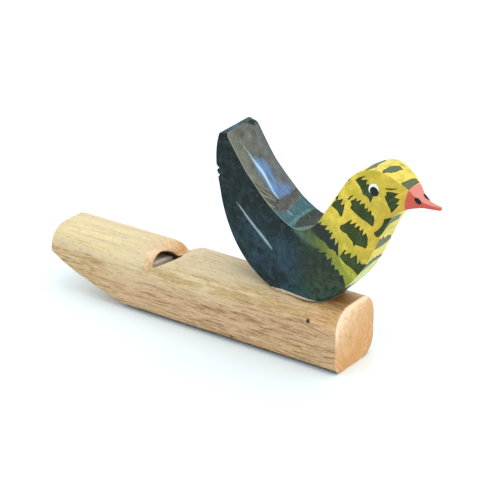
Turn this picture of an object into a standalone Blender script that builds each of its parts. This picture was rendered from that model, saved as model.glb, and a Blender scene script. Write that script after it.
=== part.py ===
"""Painted wooden bird whistle: a square stick with a stopped bore, a fipple plug, and a carved bird on top.

The frame is the stick's: the origin is the middle of the stick's length on its flat underside,
+X runs from the mouthpiece to the solid end, and +Z is up. Units are metres.
"""
import math

import bmesh
import bpy
from mathutils import Matrix, Vector

MM = 0.001

# The stick
STICK_LENGTH = 103.0 * MM
STICK_WIDTH = 20.0 * MM
STICK_HEIGHT = 19.6 * MM
# Corner radii of its section, from the bottom front round to the top front; front is -Y
CORNER_RADII = (3.4 * MM, 5.5 * MM, 6.8 * MM, 6.5 * MM)
END_EDGE = 0.5 * MM
CORNER_STEPS = 7

# The bore, drilled by hand from the mouthpiece end and a little off centre
BORE_RADIUS = 6.8 * MM
BORE_HEIGHT = 10.4 * MM
BORE_SHIFT = -1.1 * MM
BORE_END = 38.0 * MM
DRILL_POINT = 3.5 * MM
BORE_SIDES = 48

# The sawn window as (x, z) in millimetres: up the ramp from its root, over the stick, and down the saw's face.
# Both of its upper edges are sanded round
WINDOW = (
    (-14.8, 14.5),
    (-8.3, 18.0),
    (-5.2, 19.2),
    (-2.4, 19.64),
    (-1.5, 21.6),
    (-23.0, 21.6),
    (-21.5, 19.65),
    (-19.4, 19.3),
    (-17.4, 18.5),
    (-16.0, 17.4),
    (-15.2, 16.0),
)
# The saw was held a little askew
WINDOW_MIDDLE = (-14.0 * MM, 0.0, 0.0)
WINDOW_SKEW = math.radians(-4.5)

# The bevel under the mouthpiece, as (x, z) in millimetres. It passes the stick at both ends
MOUTH_BEVEL = ((-17.5, -1.0), (-31.0, 3.5), (-42.0, 7.2), (-47.0, 9.4), (-54.5, 13.6))

# The plug, whose flat top leaves the windway and leans down to the back
PLUG_CLEARANCE = 0.25 * MM
PLUG_FLAT_HEIGHT = 14.8 * MM
PLUG_FLAT_LEAN = math.radians(-8)
PLUG_END = -16.0 * MM

# The bird
BIRD_PIVOT = (38.0 * MM, 0.0, 0.0)
BIRD_YAW = math.radians(-5.5)
SIDE_ROWS = 9
STEPS_PER_RIB = 2
ACROSS = 4
# The tail's end is cut askew, higher at the back, in millimetres, fading out over a few ribs
TAIL_SKEW = 1.2
TAIL_SKEW_RIBS = 3
GLUE_GAP = 0.1 * MM
GLUE_THICKNESS = 0.3 * MM
FOOT_ENDS = (-10.6 * MM, 7.2 * MM)
FOOT_HALF_WIDTH = 6.6 * MM

# Ribs from the tail to the tip of the beak, in millimetres from the pivot. Each one crosses the board from its
# outer edge (tail, belly, breast, throat) to its inner edge (back, nape, crown, beak ridge):
# outer x and z, inner x and z, half widths at the outer and the inner edge, reach of the outer edge's taper,
# swelling of the cheek between them, and arch across the inner edge.
RIBS = (
    (-30.4, 61.4, -27.9, 61.7, 6.6, 6.6, 1.0, 0.0, 0.0),
    (-31.1, 58.4, -26.0, 59.2, 6.7, 6.7, 1.0, 0.0, 0.0),
    (-31.5, 54.5, -23.4, 55.8, 6.7, 6.7, 1.0, 0.0, 0.0),
    (-31.2, 50.5, -20.6, 52.4, 6.8, 6.8, 1.0, 0.0, 0.0),
    (-30.2, 45.6, -17.5, 49.4, 6.8, 6.8, 1.0, 0.0, 0.0),
    (-28.8, 39.9, -14.2, 46.4, 6.9, 6.9, 1.0, 0.0, 0.0),
    (-26.9, 34.8, -10.8, 43.7, 6.9, 6.9, 1.0, 0.0, 0.0),
    (-23.9, 29.7, -7.2, 41.6, 7.0, 7.0, 1.0, 0.0, 0.0),
    (-19.6, 24.8, -3.8, 40.2, 7.0, 7.0, 1.0, 0.0, 0.0),
    (-13.6, 20.8, -0.6, 40.0, 6.9, 7.0, 2.0, 0.0, 0.0),
    (-7.0, 18.4, 2.2, 41.0, 6.6, 7.1, 3.0, 0.0, 0.0),
    (-0.5, 17.0, 4.7, 42.9, 6.1, 7.2, 4.0, 0.0, 0.0),
    (5.0, 17.8, 6.9, 45.6, 4.6, 7.2, 5.0, 0.0, 0.0),
    (9.4, 22.0, 8.7, 48.6, 3.6, 7.2, 6.5, 0.0, 0.0),
    (14.9, 27.4, 10.3, 51.0, 3.5, 7.1, 8.0, 0.0, 0.0),
    (19.2, 33.0, 12.2, 54.1, 3.4, 7.0, 9.0, 0.0, 0.0),
    (23.0, 40.2, 14.2, 57.3, 3.4, 6.8, 9.0, 0.0, 0.1),
    (25.9, 46.5, 16.8, 60.9, 3.4, 6.3, 9.0, 0.3, 0.2),
    (28.2, 50.5, 20.4, 63.2, 3.3, 5.7, 9.0, 0.7, 0.4),
    (30.0, 52.3, 24.4, 64.1, 3.2, 5.2, 8.0, 0.9, 0.5),
    (31.6, 53.6, 28.4, 63.1, 3.1, 4.4, 6.0, 0.7, 0.5),
    (33.0, 54.4, 32.7, 60.7, 2.8, 3.2, 4.0, 0.3, 0.5),
    (34.8, 55.0, 34.9, 58.6, 2.2, 2.3, 2.0, 0.2, 0.5),
    (37.0, 55.5, 37.0, 57.3, 1.5, 1.5, 1.5, 0.2, 0.4),
    (39.6, 55.7, 39.5, 56.8, 1.0, 1.0, 1.0, 0.1, 0.3),
    (42.2, 55.9, 42.2, 56.7, 0.5, 0.5, 1.0, 0.0, 0.2),
)

# Turns an outline drawn in X and Y to face along +X, or to stand in the XZ plane
FACING_X = Matrix(((0, 0, 1, 0), (1, 0, 0, 0), (0, 1, 0, 0), (0, 0, 0, 1)))
STANDING = Matrix.Rotation(math.radians(90), 4, "X")
BIRD_PLACE = Matrix.Translation(BIRD_PIVOT) @ Matrix.Rotation(BIRD_YAW, 4, "Z")


def clear_scene():
    for old in list(bpy.data.objects):
        bpy.data.objects.remove(old)


def new_collection(name):
    collection = bpy.data.collections.new(name)
    bpy.context.scene.collection.children.link(collection)
    return collection


def material(name, colour, roughness):
    result = bpy.data.materials.new(name)
    result.use_nodes = True
    shader = result.node_tree.nodes["Principled BSDF"]
    shader.inputs["Base Color"].default_value = (*colour, 1.0)
    shader.inputs["Roughness"].default_value = roughness
    shader.inputs["Metallic"].default_value = 0.0
    return result


def add_object(name, mesh, collection, matrix=None):
    result = bpy.data.objects.new(name, mesh)
    collection.objects.link(result)
    if matrix is not None:
        result.matrix_world = matrix
    return result


def as_cutter(obj):
    obj.hide_render = True
    obj.display_type = "WIRE"
    return obj


def cut(obj, cutter, operation="DIFFERENCE"):
    modifier = obj.modifiers.new(f"{operation.lower()} {cutter.name}", "BOOLEAN")
    modifier.operation = operation
    modifier.object = cutter
    modifier.solver = "EXACT"


def shade(mesh, angle=35.0):
    mesh.shade_smooth()
    mesh.set_sharp_from_angle(angle=math.radians(angle))


def outline_body(name, points, thickness, collection, matrix):
    """A flat outline with thickness, centred on its plane, as a mesh."""
    curve = bpy.data.curves.new(name, "CURVE")
    curve.dimensions = "2D"
    curve.fill_mode = "BOTH"
    curve.extrude = thickness / 2
    spline = curve.splines.new("POLY")
    spline.points.add(len(points) - 1)
    for point, (x, y) in zip(spline.points, points):
        point.co = (x, y, 0.0, 1.0)
    spline.use_cyclic_u = True
    source = add_object(name + " outline", curve, collection, matrix)
    bpy.context.view_layer.update()
    evaluated = source.evaluated_get(bpy.context.evaluated_depsgraph_get())
    mesh = bpy.data.meshes.new_from_object(evaluated)
    weld = bmesh.new()
    weld.from_mesh(mesh)
    bmesh.ops.remove_doubles(weld, verts=weld.verts, dist=1e-6)
    weld.to_mesh(mesh)
    weld.free()
    result = add_object(name, mesh, collection, source.matrix_world.copy())
    bpy.data.objects.remove(source)
    return result


def arc(centre, radius, start, end, steps):
    angles = [math.radians(start + (end - start) * k / steps) for k in range(steps + 1)]
    return [(centre[0] + radius * math.cos(a), centre[1] + radius * math.sin(a)) for a in angles]


def stick_section(offset=0.0):
    """The stick's section in (y, z), grown by an offset."""
    half = STICK_WIDTH / 2
    front_low, back_low, back_top, front_top = CORNER_RADII
    corners = (
        (-half + front_low, front_low, front_low, 180),
        (half - back_low, back_low, back_low, 270),
        (half - back_top, STICK_HEIGHT - back_top, back_top, 0),
        (-half + front_top, STICK_HEIGHT - front_top, front_top, 90),
    )
    points = []
    for y, z, radius, start in corners:
        points += arc((y, z), radius + offset, start, start + 90, CORNER_STEPS)
    return points


def bore_cutter(collection):
    """The drilled hole: a straight wall and a drill's point, open past the mouthpiece."""
    start = -STICK_LENGTH / 2 - 2 * MM
    profile = (
        (0.0, BORE_END),
        (BORE_RADIUS, BORE_END - DRILL_POINT),
        (BORE_RADIUS, start),
        (0.0, start),
    )
    mesh = bpy.data.meshes.new("bore cutter")
    mesh.from_pydata([(r, 0.0, h) for r, h in profile], [(0, 1), (1, 2), (2, 3)], [])
    matrix = Matrix.Translation((0, BORE_SHIFT, BORE_HEIGHT)) @ Matrix.Rotation(math.radians(90), 4, "Y")
    cutter = add_object("bore cutter", mesh, collection, matrix)
    screw = cutter.modifiers.new("turn", "SCREW")
    screw.axis = "Z"
    screw.steps = BORE_SIDES
    screw.render_steps = BORE_SIDES
    screw.use_merge_vertices = True
    screw.merge_threshold = 1e-6
    return as_cutter(cutter)


def window_cutter(collection):
    middle = Vector(WINDOW_MIDDLE)
    points = [(x * MM - middle.x, z * MM) for x, z in WINDOW]
    skewed = Matrix.Translation(middle) @ Matrix.Rotation(WINDOW_SKEW, 4, "Z") @ STANDING
    return as_cutter(outline_body("window cutter", points, STICK_WIDTH * 1.5, collection, skewed))


def mouth_cutter(collection):
    below = -3.0
    corners = ((MOUTH_BEVEL[-1][0], below), (MOUTH_BEVEL[0][0], below))
    points = [(x * MM, z * MM) for x, z in MOUTH_BEVEL + corners]
    return as_cutter(outline_body("mouth bevel cutter", points, STICK_WIDTH * 1.5, collection, STANDING))


def whistle_body(parts, bore, window, mouth, finish):
    body = outline_body("whistle_body", stick_section(), STICK_LENGTH, parts, FACING_X)
    edge = body.modifiers.new("eased ends", "BEVEL")
    edge.limit_method = "ANGLE"
    edge.angle_limit = math.radians(60)
    edge.width = END_EDGE
    edge.segments = 2
    for cutter in (bore, window, mouth):
        cut(body, cutter)
    shade(body.data)
    body.data.materials.append(finish)
    return body


def fipple_plug(parts, cutters, mouth, finish):
    start = -STICK_LENGTH / 2
    length = PLUG_END - start
    radius = BORE_RADIUS - PLUG_CLEARANCE
    build = bmesh.new()
    bmesh.ops.create_cone(
        build, cap_ends=True, segments=BORE_SIDES, radius1=radius, radius2=radius, depth=length,
        matrix=Matrix.Rotation(math.radians(90), 4, "Y"),
    )
    mesh = bpy.data.meshes.new("fipple_plug")
    build.to_mesh(mesh)
    build.free()
    plug = add_object("fipple_plug", mesh, parts, Matrix.Translation((start + length / 2, BORE_SHIFT, BORE_HEIGHT)))
    flat = bmesh.new()
    height = BORE_HEIGHT + 2 * BORE_RADIUS - PLUG_FLAT_HEIGHT
    bmesh.ops.create_cube(flat, size=1.0, matrix=Matrix.Diagonal((length * 1.2, 3 * radius, height, 1.0)))
    flat_mesh = bpy.data.meshes.new("windway cutter")
    flat.to_mesh(flat_mesh)
    flat.free()
    lean = Matrix.Rotation(PLUG_FLAT_LEAN, 4, "X") @ Matrix.Translation((0, 0, height / 2))
    place = Matrix.Translation((start + length / 2, BORE_SHIFT, PLUG_FLAT_HEIGHT)) @ lean
    cut(plug, as_cutter(add_object("windway cutter", flat_mesh, cutters, place)))
    cut(plug, mouth)
    shade(plug.data)
    plug.data.materials.append(finish)
    return plug


def catmull_rom(rows, steps):
    """Rows of numbers read along a smooth curve through all of them."""
    padded = [rows[0]] + list(rows) + [rows[-1]]
    result = []
    for a, b, c, d in zip(padded, padded[1:], padded[2:], padded[3:]):
        for k in range(steps):
            t = k / steps
            result.append(tuple(
                0.5 * (2 * q + (r - p) * t + (2 * p - 5 * q + 4 * r - s) * t * t + (3 * q - p - 3 * r + s) * t ** 3)
                for p, q, r, s in zip(a, b, c, d)
            ))
    result.append(tuple(rows[-1]))
    return result


def rib_loop(rib, skew):
    """The closed loop of the bird's surface on one rib. A skew raises its far side, in millimetres."""
    outer_x, outer_z, inner_x, inner_z, outer_half, inner_half, reach, cheek, arch = rib
    outer = Vector((outer_x, 0.0, outer_z))
    inner = Vector((inner_x, 0.0, inner_z))
    length = (inner - outer).length
    up = (inner - outer) / length

    def half_width(t):
        left = max(0.0, 1.0 - t * length / reach)
        return inner_half - (inner_half - outer_half) * left ** 1.6 + cheek * math.sin(math.pi * t)

    near = []
    for k in range(SIDE_ROWS + 1):
        t = k / SIDE_ROWS
        near.append(outer + up * (t * length) + Vector((0, -half_width(t), 0)))
    crown = []
    for k in range(1, ACROSS):
        y = inner_half * (2 * k / ACROSS - 1)
        crown.append(inner + up * (arch * (1 - (y / inner_half) ** 2)) + Vector((0, y, 0)))
    far = [Vector((p.x, -p.y, p.z)) for p in reversed(near)]
    keel = [outer + Vector((0, outer_half * (1 - 2 * k / ACROSS), 0)) for k in range(1, ACROSS)]
    loop = near + crown + far + keel
    return [(point + Vector((0, 0, skew * (point.y / inner_half + 1) / 2))) * MM for point in loop]


def carved_bird(parts, seat, finish):
    """The board's side faces, back and breast as one loft along the ribs, coped to sit on the stick."""
    build = bmesh.new()
    loops = []
    for step, rib in enumerate(catmull_rom(RIBS, STEPS_PER_RIB)):
        skew = TAIL_SKEW * max(0.0, 1 - step / (TAIL_SKEW_RIBS * STEPS_PER_RIB))
        loops.append([build.verts.new(p) for p in rib_loop(rib, skew)])
    count = len(loops[0])
    for a, b in zip(loops, loops[1:]):
        for k in range(count):
            build.faces.new((a[k], a[(k + 1) % count], b[(k + 1) % count], b[k]))
    build.faces.new(reversed(loops[0]))
    build.faces.new(loops[-1])
    bmesh.ops.recalc_face_normals(build, faces=build.faces)
    mesh = bpy.data.meshes.new("carved_bird")
    build.to_mesh(mesh)
    build.free()
    bird = add_object("carved_bird", mesh, parts, BIRD_PLACE)
    cut(bird, seat)
    shade(mesh)
    mesh.materials.append(finish)
    return bird


def foot_outline():
    """The plan of the bird's foot with what squeezed out round it: (x, y) in the bird's frame."""
    tail_side, nose_side = FOOT_ENDS
    half_outline = (
        (tail_side, FOOT_HALF_WIDTH - 1.6 * MM),
        (tail_side + 1.2 * MM, FOOT_HALF_WIDTH),
        (nose_side - 5.0 * MM, FOOT_HALF_WIDTH),
        (nose_side - 1.7 * MM, FOOT_HALF_WIDTH - 2.2 * MM),
        (nose_side, FOOT_HALF_WIDTH - 5.0 * MM),
    )
    return list(half_outline) + [(x, -y) for x, y in reversed(half_outline)]


def glue_bead(parts, shell, stick, finish):
    """A thin layer that follows the stick's rounded top under the bird's foot."""
    height = 8 * MM
    place = BIRD_PLACE @ Matrix.Translation((0, 0, STICK_HEIGHT))
    glue = outline_body("glue_bead", foot_outline(), height, parts, place)
    cut(glue, shell, "INTERSECT")
    cut(glue, stick)
    glue.data.materials.append(finish)
    return glue


def main():
    clear_scene()
    parts = new_collection("bird whistle")
    cutters = new_collection("cutters")
    pale_wood = material("pale wood", (0.62, 0.45, 0.27), 0.6)
    dowel_wood = material("dowel wood", (0.60, 0.50, 0.38), 0.7)
    painted_wood = material("painted wood", (0.06, 0.10, 0.10), 0.45)
    dried_glue = material("dried glue", (0.75, 0.72, 0.62), 0.4)

    bore = bore_cutter(cutters)
    window = window_cutter(cutters)
    mouth = mouth_cutter(cutters)
    long_enough = STICK_LENGTH * 1.5

    def grown_stick(name, offset):
        return as_cutter(outline_body(name, stick_section(offset), long_enough, cutters, FACING_X))

    whistle_body(parts, bore, window, mouth, pale_wood)
    fipple_plug(parts, cutters, mouth, dowel_wood)
    carved_bird(parts, grown_stick("bird seat cutter", 2 * GLUE_GAP + GLUE_THICKNESS), painted_wood)
    glue_shell = grown_stick("glue shell", GLUE_GAP + GLUE_THICKNESS)
    glue_floor = grown_stick("glue floor cutter", GLUE_GAP)
    glue_bead(parts, glue_shell, glue_floor, dried_glue)


main()
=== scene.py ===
"""Looks of the painted wooden bird whistle: wood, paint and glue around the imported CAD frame."""

import math

import bmesh
import bpy
import numpy as np
from mathutils import Matrix, Vector, noise
from mathutils.bvhtree import BVHTree


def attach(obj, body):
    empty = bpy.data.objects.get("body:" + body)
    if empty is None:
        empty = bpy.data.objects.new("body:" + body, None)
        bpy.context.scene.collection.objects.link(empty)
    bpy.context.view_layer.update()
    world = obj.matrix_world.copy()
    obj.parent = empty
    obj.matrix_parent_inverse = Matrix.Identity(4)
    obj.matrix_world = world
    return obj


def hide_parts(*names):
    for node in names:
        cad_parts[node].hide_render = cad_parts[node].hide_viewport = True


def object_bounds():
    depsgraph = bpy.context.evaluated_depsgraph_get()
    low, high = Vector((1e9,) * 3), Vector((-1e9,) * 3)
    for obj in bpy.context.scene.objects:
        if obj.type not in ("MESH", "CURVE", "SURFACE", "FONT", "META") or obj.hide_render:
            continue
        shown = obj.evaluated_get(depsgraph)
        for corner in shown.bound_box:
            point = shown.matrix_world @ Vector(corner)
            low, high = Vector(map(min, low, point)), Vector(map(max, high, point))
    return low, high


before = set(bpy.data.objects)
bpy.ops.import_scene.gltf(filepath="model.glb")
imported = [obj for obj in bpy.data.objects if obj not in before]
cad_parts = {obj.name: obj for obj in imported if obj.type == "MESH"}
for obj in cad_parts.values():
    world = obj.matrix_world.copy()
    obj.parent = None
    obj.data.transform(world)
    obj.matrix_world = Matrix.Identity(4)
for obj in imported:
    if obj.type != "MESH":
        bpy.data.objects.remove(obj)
CAD_LOW, CAD_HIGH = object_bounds()

MM = 0.001

# Camera, in degrees and millimetres: it looks down on the front of the stick from its solid end
AZIMUTH = 35.15
ELEVATION = 24.57
DISTANCE = 631.4
AIM = (5.416, 13.95, 18.125)
LENS = 153.34

# A pale blue world and one wide warm lamp; distances in metres
WORLD_COLOUR = (0.86, 0.945, 1.0, 1.0)
WORLD_STRENGTH = 1.17
KEY_DIRECTION = (0.30, 0.12, 0.94)
KEY_DISTANCE = 1.2
KEY_SIZE = 1.6
KEY_POWER = 5.0
KEY_COLOUR = (1.0, 0.88, 0.74)

# The stick's section, from part.py: (corner centre y, corner centre z, radius) of its two top corners
STICK_TOP = 19.6
TOP_RADII = (6.5, 6.8)
STICK_HALF = 10.0
SEAT_GAP = 0.5

# The drilled bore, from part.py
BORE_RADIUS = 6.8
BORE_HEIGHT = 10.4
BORE_SHIFT = -1.1

# The bird stands here in the row frame
BIRD_PIVOT = (38.0, 0.0, 0.0)
BIRD_YAW = math.radians(-5.5)

# Ribs from the tail to the tip of the beak, as in part.py, in millimetres from the pivot:
# outer x and z, inner x and z, half widths at the outer and the inner edge, reach of the outer edge's
# taper, swelling of the cheek between them, and arch across the inner edge
RIBS = (
    (-30.4, 61.4, -27.9, 61.7, 6.6, 6.6, 1.0, 0.0, 0.0),
    (-31.1, 58.4, -26.0, 59.2, 6.7, 6.7, 1.0, 0.0, 0.0),
    (-31.5, 54.5, -23.4, 55.8, 6.7, 6.7, 1.0, 0.0, 0.0),
    (-31.2, 50.5, -20.6, 52.4, 6.8, 6.8, 1.0, 0.0, 0.0),
    (-30.2, 45.6, -17.5, 49.4, 6.8, 6.8, 1.0, 0.0, 0.0),
    (-28.8, 39.9, -14.2, 46.4, 6.9, 6.9, 1.0, 0.0, 0.0),
    (-26.9, 34.8, -10.8, 43.7, 6.9, 6.9, 1.0, 0.0, 0.0),
    (-23.9, 29.7, -7.2, 41.6, 7.0, 7.0, 1.0, 0.0, 0.0),
    (-19.6, 24.8, -3.8, 40.2, 7.0, 7.0, 1.0, 0.0, 0.0),
    (-13.6, 20.8, -0.6, 40.0, 6.9, 7.0, 2.0, 0.0, 0.0),
    (-7.0, 18.4, 2.2, 41.0, 6.6, 7.1, 3.0, 0.0, 0.0),
    (-0.5, 17.0, 4.7, 42.9, 6.1, 7.2, 4.0, 0.0, 0.0),
    (5.0, 17.8, 6.9, 45.6, 4.6, 7.2, 5.0, 0.0, 0.0),
    (9.4, 22.0, 8.7, 48.6, 3.6, 7.2, 6.5, 0.0, 0.0),
    (14.9, 27.4, 10.3, 51.0, 3.5, 7.1, 8.0, 0.0, 0.0),
    (19.2, 33.0, 12.2, 54.1, 3.4, 7.0, 9.0, 0.0, 0.0),
    (23.0, 40.2, 14.2, 57.3, 3.4, 6.8, 9.0, 0.0, 0.1),
    (25.9, 46.5, 16.8, 60.9, 3.4, 6.3, 9.0, 0.3, 0.2),
    (28.2, 50.5, 20.4, 63.2, 3.3, 5.7, 9.0, 0.7, 0.4),
    (30.0, 52.3, 24.4, 64.1, 3.2, 5.2, 8.0, 0.9, 0.5),
    (31.6, 53.6, 28.4, 63.1, 3.1, 4.4, 6.0, 0.7, 0.5),
    (33.0, 54.4, 32.7, 60.7, 2.8, 3.2, 4.0, 0.3, 0.5),
    (34.8, 55.0, 34.9, 58.6, 2.2, 2.3, 2.0, 0.2, 0.5),
    (37.0, 55.5, 37.0, 57.3, 1.5, 1.5, 1.5, 0.2, 0.4),
    (39.6, 55.7, 39.5, 56.8, 1.0, 1.0, 1.0, 0.1, 0.3),
    (42.2, 55.9, 42.2, 56.7, 0.5, 0.5, 1.0, 0.0, 0.2),
)
# Stations cut between one rib and the next: closest where the small painted marks are
STATIONS = (8, 12, 16, 16, 8, 6, 6, 6, 6, 7, 9, 12, 18, 20, 20, 20, 20, 16, 14, 14, 14, 12, 10, 8, 8)
# Faces up each side of a loop and across each of its edges, and how its four corners are rounded
ROWS = 88
COLUMNS = 30
EDGE_RADIUS = 0.4
EDGE_STEPS = 3
# Ribs before the last of these reach this much further at both ends, and less and less over the fade
SWELL = 0.12
SWELL_LAST = 16
SWELL_FADE = 4
# The seat is cut only from ribs that rise by at least this share of their length
SEAT_SLOPE = 0.2
# The tail's end is skewed over its first ribs, with the far side higher
TAIL_SKEW = 1.2
TAIL_SKEW_RIBS = 3
# The tail's end: height, half width, where its near side is, radii of its far and near corners,
# how much of the far one its outer edge has, and the x that none of this goes past
TAIL_END = 61.55
TAIL_HALF = 6.6
TAIL_NEAR = 6.7
TAIL_FAR_RADIUS = 1.6
TAIL_NEAR_RADIUS = 0.6
TAIL_OUTER_SHARE = 0.15
TAIL_LIMIT = -20.0
# How far the two ends are rounded over, and how deep the knife's unevenness is
TAIL_ROUNDING = 0.4
BEAK_ROUNDING = 0.3
WHITTLING = 0.09

# Painted marks on both side faces: outlines with their saw teeth as (x, z) in millimetres from the pivot
SIDE_MARKS = (
    (
        (18.1, 60.1), (18.7, 60.8), (19.6, 61.4), (21.5, 62.2), (20.5, 61.4), (19.9, 60.6), (20.9, 60.9),
        (22.2, 61.2), (21.8, 60.5), (21.8, 59.8), (22.7, 60.1), (24.1, 58.9), (24.2, 57.0), (23.6, 55.5),
        (23.3, 54.9), (22.8, 56.1), (22.3, 56.5), (20.9, 56.8), (20.5, 57.8), (19.8, 58.7), (19.0, 59.4),
    ),
    (
        (28.0, 59.2), (29.5, 59.4), (31.2, 59.1), (30.6, 58.5), (30.2, 58.0), (30.8, 57.8), (31.5, 57.6),
        (31.2, 56.8), (30.5, 56.0), (31.4, 56.0), (30.9, 55.3), (29.1, 53.1), (28.4, 52.5), (28.6, 54.0),
        (28.4, 54.8), (27.9, 56.8), (27.7, 57.8), (28.2, 58.4),
    ),
    (
        (10.7, 50.7), (11.2, 51.8), (11.9, 52.6), (12.9, 53.1), (14.6, 53.9), (14.0, 52.4), (13.7, 51.7),
        (14.5, 52.2), (15.1, 52.7), (14.9, 51.1), (14.5, 49.1), (14.0, 48.3), (13.6, 48.6), (13.2, 49.3),
        (12.6, 49.9), (11.8, 50.4),
    ),
    (
        (16.8, 53.8), (18.1, 54.6), (19.0, 55.4), (18.9, 54.2), (19.7, 54.7), (20.6, 55.2), (19.9, 53.6),
        (20.8, 54.0), (21.7, 54.5), (21.6, 52.7), (22.1, 52.9), (22.7, 53.6), (22.4, 52.1), (23.0, 52.3),
        (23.5, 52.8), (23.4, 51.0), (23.9, 51.3), (24.1, 50.4), (23.9, 49.1), (23.5, 47.6), (23.1, 47.7),
        (22.1, 48.7), (21.2, 49.3), (19.3, 50.4), (17.4, 51.4), (17.0, 51.7), (17.4, 53.1),
    ),
    (
        (13.6, 45.0), (13.9, 45.8), (14.8, 46.4), (16.1, 47.4), (17.8, 48.8), (17.5, 48.0), (16.7, 46.9),
        (17.7, 47.3), (19.3, 48.3), (18.9, 47.4), (18.4, 46.2), (19.1, 46.7), (19.8, 47.3), (20.2, 47.2),
        (19.8, 45.9), (20.4, 46.0), (21.2, 46.7), (20.9, 45.6), (20.5, 44.2), (21.2, 45.0), (21.6, 45.4),
        (21.8, 43.7), (21.5, 41.3), (20.9, 40.1), (20.4, 40.5), (19.6, 40.8), (18.5, 41.2), (18.1, 40.4),
        (17.8, 42.1), (16.8, 43.1), (16.0, 43.9), (14.8, 44.1), (14.0, 44.5),
    ),
    (
        (23.4, 45.7), (24.1, 46.2), (24.8, 46.9), (25.6, 48.0), (26.2, 49.4), (26.5, 50.3), (28.5, 51.2),
        (27.5, 49.5), (26.3, 46.5), (24.2, 44.1), (23.7, 44.5),
    ),
    (
        (13.7, 36.5), (14.3, 37.2), (14.8, 38.1), (15.4, 38.9), (16.1, 39.3), (15.7, 38.5), (15.0, 37.3),
        (15.8, 37.8), (17.4, 38.5), (17.1, 37.8), (16.7, 36.3), (17.3, 36.9), (18.6, 37.9), (18.5, 36.7),
        (18.2, 34.7), (18.6, 35.1), (19.1, 36.3), (19.1, 34.7), (20.5, 34.9), (19.5, 32.4), (17.6, 30.3),
        (17.1, 32.2), (16.3, 33.4), (15.1, 34.6), (14.3, 36.1),
    ),
)
# Single brush strokes on the sides: path, half width at each of its points
SIDE_STROKES = (
    (((27.8, 60.0), (29.2, 60.1), (30.5, 60.3)), (0.16, 0.2, 0.12)),
    (((16.2, 54.1), (16.9, 55.0), (17.8, 55.7)), (0.22, 0.26, 0.1)),
    (((16.3, 60.6), (15.8, 59.8)), (0.25, 0.5)),
    (((12.9, 54.3), (12.4, 53.4)), (0.15, 0.4)),
)
# The yellow of the neck with its teeth over the dark shoulder, and the yellow-green band below the shoulder
NECK = (
    (3.4, 43.6), (6.2, 44.3), (7.8, 45.4), (7.3, 44.7), (7.2, 44.1), (8.5, 44.4), (9.7, 44.7),
    (9.2, 44.1), (8.7, 43.2), (9.4, 43.2), (10.4, 43.5), (10.2, 43.0), (9.9, 42.4), (10.6, 42.7),
    (11.3, 43.2), (11.1, 42.3), (10.3, 40.5), (11.1, 41.0), (12.3, 41.8), (12.2, 40.9), (12.1, 39.3),
    (12.7, 40.1), (13.5, 41.2), (13.3, 40.1), (13.3, 38.6), (13.4, 36.5), (14.6, 33.0), (16.0, 26.0),
    (40.0, 30.0), (45.0, 70.0), (10.0, 70.0), (3.0, 49.0),
)
BAND = (
    (2.8, 39.4), (5.6, 40.3), (6.4, 39.9), (7.9, 39.6), (8.7, 39.2), (9.3, 38.7), (10.0, 38.0),
    (10.7, 37.8), (11.5, 37.8), (12.4, 37.5), (12.9, 36.5), (17.5, 34.0), (18.0, 26.0), (13.0, 24.8),
    (13.6, 26.7), (13.9, 29.0), (14.0, 30.4), (13.2, 30.3), (13.3, 31.6), (13.2, 32.5), (12.2, 31.9),
    (12.3, 32.9), (12.1, 33.6), (10.9, 33.0), (11.2, 34.5), (11.2, 35.5), (10.4, 34.9), (9.4, 34.2),
    (9.6, 35.2), (8.8, 35.2), (9.3, 36.1), (9.2, 36.5), (8.0, 36.0), (6.5, 35.7), (7.2, 36.8),
    (4.6, 36.6), (2.8, 37.0),
)
SHOULDER = (
    (3.4, 43.6), (7.8, 45.4), (13.5, 41.2), (13.4, 36.5), (12.4, 37.5), (8.7, 39.2), (5.6, 40.3),
    (3.4, 41.8),
)
MOSS = (
    (-2.4, 39.8), (0.6, 40.6), (3.7, 42.0), (5.5, 41.8), (6.8, 40.0), (7.6, 37.8), (5.2, 36.9),
    (2.4, 37.0), (-0.2, 38.4),
)
SIDE_LINE = (
    ((-23.9, 42.4), (-22.4, 41.2), (-19.4, 38.5), (-15.9, 35.9), (-12.6, 33.4), (-10.4, 31.5)),
    (0.05, 0.22, 0.38, 0.46, 0.5, 0.15),
)

# Marks on the breast as (z, y), and on the crown as (x, y)
BREAST_MARKS = (
    (
        (44.6, -4.6), (45.6, -3.3), (47.6, -2.2), (48.4, -1.9), (48.6, 0.3), (48.9, 1.6), (50.6, 1.2),
        (51.3, -0.6), (51.6, -3.1), (51.2, -4.6),
    ),
    (
        (39.7, -4.6), (39.9, -3.0), (40.0, -0.1), (40.7, 1.8), (41.6, 3.0), (43.0, 2.2), (43.6, 0.4),
        (42.8, -0.6), (44.3, -2.0), (42.9, -2.3), (43.8, -3.0), (42.6, -3.6), (41.4, -4.6),
    ),
    (
        (32.3, -4.6), (32.4, -2.7), (33.4, -1.0), (34.2, 0.1), (34.7, 1.8), (35.2, 3.4), (36.2, 3.0),
        (35.9, 2.2), (36.6, 1.6), (35.9, 0.9), (36.6, 0.3), (35.8, -0.5), (36.4, -1.2), (35.4, -1.6),
        (35.8, -2.4), (34.9, -2.8), (34.6, -3.6), (33.4, -4.6),
    ),
)
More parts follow.
